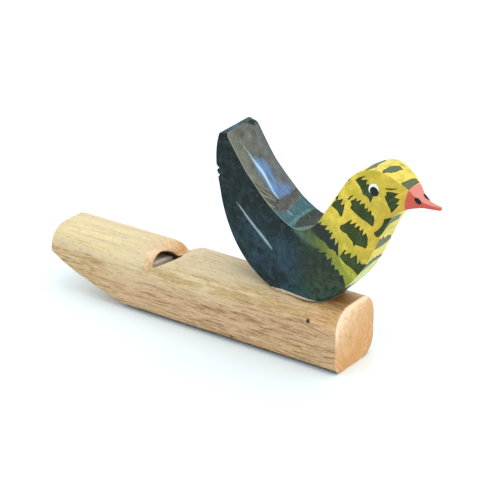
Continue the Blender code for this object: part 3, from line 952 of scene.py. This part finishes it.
def long_grain(g, where, lines):
    """The colours of the stick's long faces, its open pores, and its fine grain."""
    x, _, z = g.parts(where)
    bands = g.noise(lines, 0.42, 3.0, 0.55)
    grain = g.noise(lines, 1.8, 3.0, 0.65)
    dash = g.noise(lines, 1.8, 2.0, 0.55, stretch=(1.1, 1.0, 1.0))
    pore = g.noise(lines, 2.7, 1.5, 0.5, stretch=(1.3, 1.0, 1.0))
    fleck = g.noise(lines, 1.6, 2.0, 0.5, stretch=(2.6, 1.2, 1.2))
    cluster = g.noise(lines, 0.30, 2.0, 0.5)
    speckle = g.noise(where, 1.6, 2.0, 0.7, stretch=(0.45, 1.0, 1.0))

    base, low = plain_grain(g, x, z, bands, cluster)

    def lower(top_share, side_share):
        return g.step(low, 0.0, 1.0, top_share, side_share)

    base = figured_grain(g, x, z, lines, base)
    base = g.cover(base, WOOD_ROSE, g.step(grain, 0.50, 0.68), lower(0.28, 0.60))
    base = g.wash(base, WOOD_PALE, grain, 0.46, 0.32, 0.28)
    nose = g.times(g.step(x, 34.0, 46.0), g.step(z, 12.0, 16.5))
    base = g.cover(base, WOOD_AMBER, nose, g.step(grain, 0.35, 0.55, 0.45, 0.90))
    base = g.cover(base, WOOD_FLECK, g.step(fleck, 0.56, 0.68), lower(0.12, 0.40))
    base = g.wash(base, WOOD_DASH, speckle, 0.52, 0.68, 0.20)
    base = g.wash(base, WOOD_PALE, speckle, 0.48, 0.32, 0.25)
    many = g.sum_of(low, 0.05, g.times(g.minus(cluster, 0.5), 0.18))
    dashes = g.step(g.plus(dash, many), 0.60, 0.69)
    pores = g.step(g.plus(pore, many), 0.62, 0.71)
    base = g.cover(base, WOOD_DASH, dashes, lower(0.15, 0.62))
    base = g.cover(base, WOOD_DASH, pores, lower(0.12, 0.58))
    return base, dashes, grain


def end_grain(g, where):
    """The colours of the sawn ends: lighter at the top, faint rings, a blotch at the pith, and a painted
    highlight along the rounded top and near edges.
    """
    x, y, z = g.parts(where)
    out = g.vector("LENGTH", g.join(0.0, g.minus(y, PITH[0]), g.minus(z, PITH[1])))
    ring = g.sway(g.noise(where, 0.28, 2.0), 6.0, out)
    arcs = g.noise(g.join(0.0, ring, 0.0), 0.45, 2.0, 0.6)
    dots = g.noise(where, 1.0, 3.0, 0.65, stretch=(0.5, 0.9, 0.9))
    cloud = g.noise(where, 0.22, 3.0, 0.6)
    slant = g.sway(cloud, 14.0, g.sum_of(y, -0.45, z))
    colour = g.mix(g.step(slant, 4.0, 14.0), END_LOW, END_MIDDLE)
    colour = g.wash(colour, END_LIGHT, slant, 12.5, 19.0, 1.0)
    colour = g.wash(colour, END_LIGHT, arcs, 0.50, 0.66, 0.45)
    colour = g.wash(colour, END_LOW, dots, 0.50, 0.66, 0.45)
    colour = g.wash(colour, END_LIGHT, dots, 0.46, 0.34, 0.22)
    colour = g.wash(colour, END_LOW, cloud, 0.50, 0.62, 0.50)
    # Painted highlight: a lighter band along the end face's rounded top and near edges, where they catch
    # the light.
    past_side = g.math("MAXIMUM", g.minus(-3.5, y), 0.0)
    past_top = g.math("MAXIMUM", g.minus(z, 13.1), 0.0)
    rim = g.step(g.vector("LENGTH", g.join(past_side, past_top, 0.0)), 4.3, 5.8)
    colour = g.cover(colour, END_RIM_HIGHLIGHT, rim, g.step(z, 7.0, 15.0), g.step(x, 20.0, 40.0, 0.0, 0.8))
    return g.wash(colour, STAIN, out, 1.0, 0.2, 0.35)


def saw_share(g, x, y):
    """How strongly a sawn face shows its own colour: it fades towards the near end of the window's cut."""
    near = g.step(y, -5.0, -8.0, 0.0, 0.55)
    return g.minus(1.0, g.times(g.step(x, 0.0, -10.0), g.step(x, -50.0, -45.0), near))


def stains_and_painted_shade(g, where, x, y, z, front, base):
    """The stain by the breast, painted shade along the lower edges and on the bore's wall, and the
    pinholes.
    """
    near_nose = g.join(g.times(g.minus(x, STAIN_AT[0]), 0.55), g.minus(y, STAIN_AT[1]), 0.0)
    ragged = g.noise(where, 0.8, 3.0, 0.6, stretch=(0.3, 1.0, 1.0))
    stain = g.sway(ragged, 8.0, g.vector("LENGTH", near_nose))
    on_top = g.times(g.step(z, 15.0, 18.0), g.step(x, 51.4, 50.4))
    base = g.cover(base, STAIN, on_top, g.step(stain, 6.5, 1.5, 0.0, 0.85))
    # Painted shade: the wood below about 1.5 mm height is darkened, standing in for the shade under the
    # stick's rounded bottom edge.
    base = g.cover(base, EDGE_SHADE, g.step(z, 1.8, 1.2), g.step(front, 0.6, 0.2), 0.85)
    # Painted shade: the bore's wall is darkened brown, standing in for the shade inside the bore.
    off_axis = g.vector("LENGTH", g.join(0.0, g.minus(y, BORE_SHIFT), g.minus(z, BORE_HEIGHT)))
    wall = g.step(off_axis, BORE_RADIUS + 0.25, BORE_RADIUS + 0.05, 0.0, 0.8)
    inside = g.step(x, BORE_ENDS[0], BORE_ENDS[0] + 4.0)
    base = g.cover(base, BORE_SHADE, wall, g.step(x, BORE_ENDS[1], BORE_ENDS[1] - 1.0), inside)
    for spot, radius in SPOTS:
        away = g.vector("DISTANCE", where, spot)
        base = g.wash(base, SPOT_COLOUR, away, radius * 1.2, radius * 0.6, 1.0)
    return base


def stick_wood():
    g = Graph("pale wood")
    where = g.place()
    x, y, z = g.parts(where)
    base, dashes, grain = long_grain(g, where, along_grain(g, where))
    front = g.parts(g.add("NewGeometry", {}).outputs["Normal"])[0]
    sawn = g.step(g.math("ABSOLUTE", front), 0.25, 0.75, 0.0, 0.95)
    base = g.cover(base, end_grain(g, where), sawn, saw_share(g, x, y))
    base = stains_and_painted_shade(g, where, x, y, z, front, base)
    g.bump(g.sum_of(dashes, -0.7, g.times(grain, 0.6)), 0.4, 0.12)
    return g.finish(base, g.step(dashes, 0.0, 1.0, 0.5, 0.75), 0.2)


def dowel_wood():
    g = Graph("dowel wood")
    where = g.place()
    fibre = g.noise(where, 1.0, 4.0, 0.6, stretch=(0.06, 1.4, 1.4))
    dots = g.noise(where, 1.0, 2.0, 0.6, stretch=(0.5, 3.2, 3.2))
    base = g.mix(g.step(fibre, 0.35, 0.7), DOWEL_PALE, DOWEL_BROWN)
    base = g.wash(base, DOWEL_DOT, dots, 0.5, 0.7, 0.5)
    g.bump(g.plus(fibre, dots), 0.3, 0.12)
    return g.finish(base, 0.7, 0.25)


BODY_BLACK = (0.006, 0.0135, 0.012)
BODY_BLUE = (0.019, 0.048, 0.072)
BODY_OLIVE = (0.019, 0.031, 0.017)
BODY_TEAL = (0.014, 0.062, 0.068)
BODY_DUST = (0.072, 0.108, 0.110)
MOSS_GREEN = (0.080, 0.120, 0.050)
MOSS_TEAL = (0.105, 0.205, 0.150)
SHOULDER_BLACK = (0.022, 0.030, 0.026)
BACK_OLIVE = (0.115, 0.130, 0.112)
BACK_BROWN = (0.125, 0.110, 0.092)
BACK_DARK = (0.062, 0.062, 0.050)
BACK_LIGHT = (0.230, 0.245, 0.215)
BACK_STRAW = (0.205, 0.200, 0.135)
BACK_SLATE = (0.125, 0.145, 0.160)
BACK_PURPLE = (0.120, 0.112, 0.118)
BACK_CREAM = (0.290, 0.285, 0.220)
SCALLOP_DARK = (0.024, 0.027, 0.018)
SKY_PALE = (0.140, 0.270, 0.510)
TEAL_LIGHT = (0.078, 0.182, 0.196)
SKY_BLUE = (0.110, 0.230, 0.500)
TEAL = (0.036, 0.104, 0.122)
PALE_TEAL = (0.150, 0.270, 0.255)
DAB_BLUE = (0.150, 0.350, 0.560)
DARK_OLIVE = (0.058, 0.068, 0.044)
TAIL_BLUE = (0.032, 0.072, 0.110)
CHALK = (0.33, 0.40, 0.41)
CHALK_GREY = (0.36, 0.41, 0.36)
CHALK_BLUE = (0.46, 0.64, 0.84)
YELLOW = (0.78, 0.565, 0.068)
PALE_AND_LIT_YELLOW = (0.90, 0.72, 0.14)
LIT_CHEST_GREEN = (0.78, 0.88, 0.36)
MUSTARD = (0.55, 0.405, 0.045)
ORANGE_YELLOW = (0.56, 0.35, 0.040)
GREEN_YELLOW = (0.37, 0.350, 0.038)
LIME = (0.235, 0.275, 0.034)
MARK_GREEN = (0.028, 0.050, 0.007)
MARK_GREY = (0.052, 0.074, 0.026)
MARK_LIGHT = (0.085, 0.115, 0.045)
MARK_DEEP = (0.012, 0.026, 0.004)
MARK_RIM = (0.012, 0.013, 0.002)
LIT_FACET_MARK = (0.130, 0.165, 0.090)
CORAL = (0.56, 0.092, 0.060)
CORAL_LIGHT = (0.74, 0.265, 0.215)
CORAL_TIP = (0.62, 0.150, 0.075)
GLUE_WHITE = (0.66, 0.60, 0.56)
FOOT_WOOD = (0.46, 0.33, 0.20)


class Painted(Graph):
    """The bird's material: its noises, the bird's own millimetres, and the areas stored in its mesh."""

    def __init__(self, name):
        super().__init__(name)
        self.where = self.place()
        self.strokes = self.attribute("flow", "Vector")
        self.x, self.y, self.z = (self.attribute("bird_" + axis) for axis in "xyz")
        self.facet = self.attribute("facet")
        self.patch = self.noise(self.where, 0.23, 3.0, 0.6)
        self.ragged = self.noise(self.where, 1.6, 2.0, 0.5)
        self.speck = self.noise(self.where, 3.2, 2.0, 0.6)
        self.brush = self.noise(self.strokes, 1.0, 3.0, 0.6, stretch=(0.22, 2.4, 1.0))

    def depth(self, name, wobble):
        """Depth inside a painted area with a ragged edge."""
        return self.sway(self.ragged, wobble, self.attribute(name))

    def area(self, name, softness, wobble=0.35):
        return self.step(self.depth(name, wobble), -softness, softness)


def body_paint(g):
    """The dark blue and green of both sides."""
    cloud = g.noise(g.where, 0.11, 3.0, 0.55)
    blot = g.noise(g.where, 0.55, 3.0, 0.65)
    blue = g.times(g.step(g.z, 46.0, 30.0), g.step(cloud, 0.34, 0.58), g.step(g.x, 6.0, -4.0, 0.2, 1.0))
    body = g.mix(blue, BODY_BLACK, BODY_BLUE)
    body = g.cover(body, BODY_OLIVE, g.step(g.x, -7.0, 5.0), g.step(g.patch, 0.24, 0.46))
    teal = g.times(g.step(g.z, 27.0, 19.5), g.step(g.x, -7.0, 2.0))
    body = g.cover(body, BODY_TEAL, teal, g.step(g.patch, 0.34, 0.58))
    foot = g.times(g.step(g.x, -1.0, 8.0), g.step(g.z, 33.0, 24.0, 0.0, 0.50))
    body = g.cover(body, MOSS_GREEN, foot, g.step(blot, 0.30, 0.66))
    body = g.wash(body, BODY_DUST, blot, 0.48, 0.70, 0.27)
    body = g.wash(body, BODY_DUST, g.speck, 0.50, 0.68, 0.26)
    body = g.cover(body, BODY_BLACK, g.step(blot, 0.48, 0.34), g.step(g.x, -6.0, 4.0, 0.75, 0.35))
    body = g.wash(body, BODY_BLACK, g.brush, 0.42, 0.28, 0.4)
    moss = g.mix(g.step(g.plus(g.z, g.x), 42.0, 36.0), MOSS_GREEN, MOSS_TEAL)
    return g.cover(body, moss, g.area("moss", 1.1, 1.6), g.step(blot, 0.30, 0.60, 0.45, 1.0))


def back_paint(g):
    """The feathers brushed on the back, and the tail's end."""
    near_edge, far_edge = g.attribute("near_edge"), g.attribute("far_edge")
    grit = g.noise(g.where, 0.42, 5.0, 0.75)
    hair = g.noise(g.strokes, 1.0, 3.0, 0.65, stretch=(0.45, 2.0, 1.0), distortion=0.8)
    streaks = g.noise(g.strokes, 1.0, 2.0, 0.6, stretch=(0.14, 1.6, 1.0))
    fine = g.step(hair, 0.40, 0.62)
    back = g.mix(g.step(g.brush, 0.36, 0.64), BACK_OLIVE, BACK_BROWN)
    back = g.wash(back, BACK_DARK, grit, 0.49, 0.62, 0.70)
    back = g.wash(back, BACK_LIGHT, grit, 0.47, 0.35, 0.60)
    back = g.cover(back, BACK_LIGHT, fine, 0.22)
    back = g.wash(back, BACK_STRAW, near_edge, 5.0, 0.5, 0.45)
    back = g.wash(back, BACK_SLATE, far_edge, 4.5, 0.8, 0.40)
    streaked = g.step(streaks, 0.40, 0.55, 0.14, 0.95)
    back = g.cover(back, g.mix(fine, SKY_BLUE, SKY_PALE), g.area("blue", 0.9, 1.6), streaked)
    teal = g.mix(g.step(hair, 0.45, 0.64), TEAL, TEAL_LIGHT)
    back = g.cover(back, teal, g.area("teal", 0.6, 1.4), 0.94)
    brown = g.mix(g.step(hair, 0.42, 0.66), BACK_DARK, BACK_PURPLE)
    back = g.cover(back, brown, g.area("brown", 0.35, 1.4), 0.85)
    back = g.wash(back, SCALLOP_DARK, g.attribute("brushed"), -0.75, -0.25, 0.65)
    back = g.cover(back, BACK_CREAM, g.area("brushed", 0.2, 0.4), 0.85)
    scallop = g.mix(g.step(hair, 0.44, 0.60), SCALLOP_DARK, DARK_OLIVE)
    back = g.cover(back, scallop, g.area("scallop", 0.25, 2.0), 0.92)
    back = g.cover(back, PALE_TEAL, g.area("pale", 0.2, 1.8), 0.70)
    back = g.cover(back, DAB_BLUE, g.area("dab", 0.25, 0.4), 0.8)
    back = g.wash(back, SCALLOP_DARK, far_edge, 0.50, 0.20, 0.75)
    rim = g.mix(g.step(g.x, -11.0, -9.0), BACK_CREAM, PALE_TEAL)
    back = g.wash(back, rim, near_edge, 0.55, 0.20, 0.45)
    middle = g.times(g.step(g.y, -5.5, -2.0), g.step(g.y, 3.0, 0.0))
    tail = g.mix(middle, BODY_OLIVE, TAIL_BLUE)
    tail = g.wash(tail, PALE_TEAL, grit, 0.48, 0.34, 0.45)
    tail = g.wash(tail, BODY_BLACK, grit, 0.50, 0.62, 0.60)
    return g.mix(g.math("MAXIMUM", g.attribute("tail_end"), g.area("tail_facet", 0.25, 0.8)), back, tail)


def lime_paint(g):
    """The yellow-green band under the shoulder."""
    lime = g.mix(g.step(g.patch, 0.36, 0.66), LIME, GREEN_YELLOW)
    return g.mix(g.step(g.speck, 0.42, 0.66, 0.10, 0.60), lime, MOSS_GREEN)


def yellow_paint(g):
    """The yellow of head and neck: greener low down, more orange at the throat, and paler on the facets of
    crown and breast as painted light.
    """
    warm = g.step(g.sum_of(g.x, 0.9, g.z), 47.0, 60.0)
    middle = g.times(g.step(g.x, 17.0, 22.0), g.step(g.x, 31.0, 27.0), g.step(g.z, 44.0, 50.0))
    yellow = g.mix(g.sum_of(middle, -0.7, g.step(g.patch, 0.30, 0.60)), MUSTARD, YELLOW)
    throat = g.sum_of(g.z, -0.62, g.x)
    yellow = g.wash(yellow, ORANGE_YELLOW, throat, -8.6, -3.0, 0.8)
    yellow = g.mix(g.minus(1.0, warm), yellow, GREEN_YELLOW)
    yellow = g.wash(yellow, LIME, g.z, 33.0, 27.0, 1.0)
    # Painted light: the facets of crown, nape and breast are drawn paler, greenish white low on the chest,
    # for the light they catch.
    pale = g.mix(g.step(g.z, 38.0, 30.0), PALE_AND_LIT_YELLOW, LIT_CHEST_GREEN)
    yellow = g.cover(yellow, pale, g.facet, 0.7)
    thin = g.noise(g.where, 0.42, 3.0, 0.65)
    yellow = g.wash(yellow, GREEN_YELLOW, thin, 0.48, 0.64, 0.42)
    yellow = g.wash(yellow, PALE_AND_LIT_YELLOW, thin, 0.46, 0.34, 0.30)
    yellow = g.wash(yellow, LIME, g.brush, 0.5, 0.72, 0.26)
    return g.wash(yellow, ORANGE_YELLOW, g.speck, 0.55, 0.72, 0.20)


def mark_paint(g):
    """The dark green of the feather marks, darkest along their edges, and lighter on the facets as painted
    light.
    """
    mark = g.mix(g.step(g.patch, 0.35, 0.65), MARK_GREEN, MARK_GREY)
    mark = g.wash(mark, MARK_LIGHT, g.speck, 0.50, 0.68, 0.60)
    mark = g.wash(mark, MARK_DEEP, g.brush, 0.52, 0.36, 0.70)
    # Painted light: the marks are drawn lighter on the facets, for the light that those facets catch.
    mark = g.cover(mark, LIT_FACET_MARK, g.facet, 0.85)
    return g.cover(mark, MARK_RIM, g.step(g.depth("mark", 0.3), 0.40, 0.10), 0.55)


def beak_paint(g):
    beak = g.mix(g.times(g.facet, 0.9), CORAL, CORAL_LIGHT)
    beak = g.wash(beak, CORAL_LIGHT, g.speck, 0.45, 0.7, 0.25)
    return g.wash(beak, CORAL_TIP, g.x, 39.5, 42.5, 0.5)


def bare_foot(g):
    """Unpainted wood at the foot, with a film of glue."""
    bare = g.mix(g.step(g.speck, 0.40, 0.62), FOOT_WOOD, WOOD_SIDE)
    film = g.step(g.attribute("bare"), 0.50, 0.10, 0.0, 0.8)
    return g.cover(bare, GLUE_WHITE, film, g.step(g.x, -2.0, -6.0, 0.35, 1.0))


def bird_paint():
    g = Painted("painted wood")
    colour = g.mix(g.area("back", 0.12), body_paint(g), back_paint(g))
    colour = g.cover(colour, SHOULDER_BLACK, g.area("shoulder", 0.4, 0.5), 0.85)
    colour = g.cover(colour, lime_paint(g), g.area("band", 0.12, 0.4), g.step(g.x, 2.5, 12.5))
    colour = g.mix(g.area("yellow", 0.10, 0.3), colour, yellow_paint(g))
    colour = g.mix(g.area("mark", 0.09, 0.2), colour, mark_paint(g))
    colour = g.mix(g.area("beak", 0.08, 0.2), colour, beak_paint(g))
    chalk = g.mix(g.facet, CHALK, g.mix(g.step(g.x, -20.0, -23.5), CHALK_BLUE, CHALK_GREY))
    colour = g.cover(colour, chalk, g.area("white", 0.16, 0.3), g.step(g.brush, 0.3, 0.6, 0.6, 0.9))
    colour = g.mix(g.area("bare", 0.08), colour, bare_foot(g))
    g.bump(g.sum_of(g.brush, 0.8, g.times(g.speck, 0.35)), 0.25, 0.08)
    return g.finish(colour, g.step(g.patch, 0.3, 0.7, 0.34, 0.46), 0.12)


def drop_paint(name, colours):
    g = Graph(name)
    patch = g.noise(g.place(), 1.4, 2.0)
    g.bump(patch, 0.1, 0.05)
    return g.finish(g.mix(g.step(patch, 0.35, 0.65), *colours), g.step(patch, 0.3, 0.7, 0.14, 0.26), 0.22)


def glue_finish():
    """Dried glue: milky where it is thick at the tail side, brown elsewhere, dark enough to serve also as
    painted contact shade under the foot.
    """
    g = Graph("dried glue")
    where = g.place()
    patch = g.noise(where, 0.9, 3.0)
    white = g.times(g.step(g.parts(where)[0], 34.5, 31.5), g.step(patch, 0.36, 0.50, 0.25, 1.0))
    g.bump(patch, 0.3, 0.1)
    return g.finish(g.mix(white, GLUE_BROWN_AND_SHADE, GLUE_CREAM), g.step(patch, 0.3, 0.7, 0.3, 0.5), 0.4)


def floor_finish():
    g = Graph("pale floor")
    cloud = g.noise(g.place(), 0.02, 2.0)
    return g.finish(g.mix(g.step(cloud, 0.3, 0.7), *FLOOR_COLOURS), 0.8, 0.1)


# ---------------------------------------------------------------- pieces

def soft_copy(node, name):
    """A CAD node as an even mesh with its edges eased, for the finish to sit on."""
    source = bpy.data.objects.new(name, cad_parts[node].data.copy())
    bpy.context.scene.collection.objects.link(source)
    weld = source.modifiers.new("weld", "WELD")
    weld.merge_threshold = WELD_REACH * MM
    remesh = source.modifiers.new("even", "REMESH")
    remesh.mode = "VOXEL"
    remesh.voxel_size = VOXEL * MM
    ease = source.modifiers.new("ease", "SMOOTH")
    ease.factor = EASE_FACTOR
    ease.iterations = 1
    bpy.context.view_layer.update()
    mesh = bpy.data.meshes.new_from_object(source.evaluated_get(bpy.context.evaluated_depsgraph_get()))
    mesh.name = name
    mesh.materials.clear()
    mesh.shade_smooth()
    bpy.data.objects.remove(source)
    return mesh


def finished(build, name, finish):
    """The object made from a build, with its faces turned outwards, in one finish."""
    bmesh.ops.recalc_face_normals(build, faces=build.faces)
    mesh = bpy.data.meshes.new(name)
    build.to_mesh(mesh)
    build.free()
    mesh.shade_smooth()
    mesh.materials.append(finish)
    return new_object(name, mesh)


def join_rings(build, first, second):
    """Quads between two closed rings of as many vertices each."""
    for k in range(len(first)):
        after = (k + 1) % len(first)
        build.faces.new((first[k], second[k], second[after], first[after]))


def fill_disc(build, rings):
    """Faces from a middle vertex, which is the first ring, out to the last ring."""
    middle, around = rings[0][0], rings[1]
    for k in range(len(around)):
        build.faces.new((middle, around[k], around[(k + 1) % len(around)]))
    for inner, outer in zip(rings[1:], rings[2:]):
        join_rings(build, inner, outer)


def stick():
    mesh = soft_copy("whistle_body", "whistle_stick")
    mesh.materials.append(stick_wood())
    made = new_object("whistle_stick", mesh)
    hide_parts("whistle_body")


def plug():
    mesh = soft_copy("fipple_plug", "windway_plug")
    mesh.materials.append(dowel_wood())
    made = new_object("windway_plug", mesh)
    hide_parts("fipple_plug")


def bird():
    mesh, points, stations, count = bird_mesh()
    paint(mesh, points, stations, count)
    mesh.materials.append(bird_paint())
    made = new_object("painted_bird", mesh)
    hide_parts("carved_bird")
    return made


def drop(name, tree, centre, toward, radii, tilt, rise, finish, wobble, seed):
    """A low dome of paint on the surface that a line from outside the bird meets at its centre."""
    toward = Vector(toward).normalized()
    level = (Vector((1, 0, 0)) - toward * toward.x).normalized()
    other = toward.cross(level)
    place = bird_place()
    inward = place.to_3x3() @ toward
    build = bmesh.new()
    rings = []
    for ring in range(DROP_RINGS + 1):
        share = ring / DROP_RINGS
        lift = rise * math.sqrt(max(0.0, 1 - share ** 2.6)) - (DROP_SINK if ring == DROP_RINGS else 0.0)
        row = []
        for side in range(DROP_SIDES if ring else 1):
            angle = 2 * math.pi * side / DROP_SIDES
            c, s = math.cos(angle), math.sin(angle)
            edge = share * (1 + wobble * noise.noise(Vector((c, s, seed))))
            u, v = radii[0] * edge * c, radii[1] * edge * s
            turned = (u * math.cos(tilt) - v * math.sin(tilt), u * math.sin(tilt) + v * math.cos(tilt))
            start = Vector(centre) + level * turned[0] + other * turned[1] - toward * 6.0
            hit = tree.ray_cast(place @ (start * MM), inward)[0]
            row.append(build.verts.new(hit - inward * lift * MM))
        rings.append(row)
    fill_disc(build, rings)
    foot = [build.verts.new(v.co + inward * DROP_FOOT * MM) for v in rings[-1]]
    join_rings(build, rings[-1], foot)
    build.faces.new(foot)
    return finished(build, name, finish)


def drops(made):
    tree = BVHTree.FromObject(made, bpy.context.evaluated_depsgraph_get())
    white = drop_paint("eye white", EYE_COLOURS)
    black = drop_paint("eye black", BLACK_COLOURS)
    pupil_at = (EYE[0] + PUPIL_SHIFT[0], EYE[1] + PUPIL_SHIFT[1])
    for side, word in ((-1, "near"), (1, "far")):
        toward = (0, -side, 0)
        for name, (x, z), radius, rise, finish, wobble, seed in (
            (f"eye_white_{word}", EYE, EYE_WHITE, 0.22, white, 0.05, side),
            (f"eye_pupil_{word}", pupil_at, EYE_PUPIL, 0.42, black, 0.04, side + 5),
        ):
            drop(name, tree, (x, side * 7.0, z), toward, (radius, radius), 0.0, rise, finish, wobble, seed)
    for word, centre, toward, radii, tilt in NOSTRILS:
        drop(f"nostril_{word}", tree, centre, toward, radii, tilt, 0.25, black, 0.06, 9 + centre[1])


def squeeze_out(build, place):
    """The uneven line of glue squeezed out along the near side of the foot."""
    rows = []
    for x, radius in SQUEEZE:
        world = place @ Vector((x * MM, SQUEEZE_SIDE * MM, 0))
        height = float(seat_height(np.array(world.y / MM))) - 0.1
        row = []
        for side in range(SQUEEZE_SIDES):
            angle = 2 * math.pi * side / SQUEEZE_SIDES
            c, s = math.cos(angle), math.sin(angle)
            reach = radius * (1 + 0.5 * noise.noise(Vector((x * 1.7, 2 * c, 2 * s))))
            spot = (world.x, world.y + reach * c * MM, (height + 1.3 * reach * s) * MM)
            row.append(build.verts.new(spot))
        rows.append(row)
    for first, second in zip(rows, rows[1:]):
        join_rings(build, first, second)
    build.faces.new(rows[0])
    build.faces.new(reversed(rows[-1]))


def glue():
    """Glue filling the seat, with a little squeezed out round the foot."""
    build = bmesh.new()
    place = bird_place()
    top, low = [], []
    for ring in range(GLUE_RINGS + 1):
        share = ring / GLUE_RINGS
        rim = 0.30 * max(0.0, (share - 0.9) / 0.1) ** 2
        upper, lower = [], []
        for side in range(GLUE_SIDES if ring else 1):
            angle = 2 * math.pi * side / GLUE_SIDES
            c, s = math.cos(angle), math.sin(angle)
            reach = share * (1 + 0.035 * noise.noise(Vector((3 * c, 3 * s, 1.7))))
            x = math.copysign(abs(c) ** GLUE_SQUARENESS, c) * reach * (GLUE_NOSE if c > 0 else GLUE_TAIL)
            y = math.copysign(abs(s) ** GLUE_SQUARENESS, s) * reach * GLUE_HALF
            world = place @ Vector((x * MM, y * MM, 0))
            seat = float(seat_height(np.array(world.y / MM)))
            upper.append(build.verts.new((world.x, world.y, (seat - 0.02 - rim) * MM)))
            lower.append(build.verts.new((world.x, world.y, (seat - SEAT_GAP + 0.02) * MM)))
        top.append(upper)
        low.append(lower)
    fill_disc(build, top)
    fill_disc(build, low)
    join_rings(build, top[-1], low[-1])
    squeeze_out(build, place)
    made = finished(build, "glue_line", glue_finish())
    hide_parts("glue_bead")


# ---------------------------------------------------------------- floor, light and camera

def floor():
    build = bmesh.new()
    bmesh.ops.create_grid(build, x_segments=8, y_segments=8, size=3.0)
    mesh = bpy.data.meshes.new("floor")
    build.to_mesh(mesh)
    build.free()
    mesh.materials.append(floor_finish())
    made = bpy.data.objects.new("floor", mesh)
    made.location = (0, 0, CAD_LOW.z)
    bpy.context.scene.collection.objects.link(made)


def soft_light(name, direction, distance, size, power, colour):
    light = bpy.data.lights.new(name, "AREA")
    light.shape = "DISK"
    light.size = size
    light.energy = power
    light.color = colour
    lamp = bpy.data.objects.new(name, light)
    toward = Vector(direction).normalized()
    lamp.location = (CAD_LOW + CAD_HIGH) / 2 + toward * distance
    lamp.rotation_euler = toward.to_track_quat("Z", "Y").to_euler()
    bpy.context.scene.collection.objects.link(lamp)


def lights():
    world = bpy.data.worlds.new("studio")
    world.use_nodes = True
    background = world.node_tree.nodes["Background"]
    background.inputs["Color"].default_value = WORLD_COLOUR
    background.inputs["Strength"].default_value = WORLD_STRENGTH
    bpy.context.scene.world = world
    soft_light("key", KEY_DIRECTION, KEY_DISTANCE, KEY_SIZE, KEY_POWER, KEY_COLOUR)
    bpy.context.scene.view_settings.view_transform = "Standard"


def camera():
    data = bpy.data.cameras.new("camera")
    data.lens = LENS
    data.sensor_width = 36.0
    made = bpy.data.objects.new("camera", data)
    a, e = math.radians(AZIMUTH), math.radians(ELEVATION)
    back = Vector((math.sin(a) * math.cos(e), -math.cos(a) * math.cos(e), math.sin(e)))
    made.location = (Vector(AIM) + back * DISTANCE) * MM
    made.rotation_euler = back.to_track_quat("Z", "Y").to_euler()
    data.clip_start, data.clip_end = 0.01, 20.0
    bpy.context.scene.collection.objects.link(made)
    bpy.context.scene.camera = made


camera()
stick()
plug()
drops(bird())
glue()
floor()
lights()
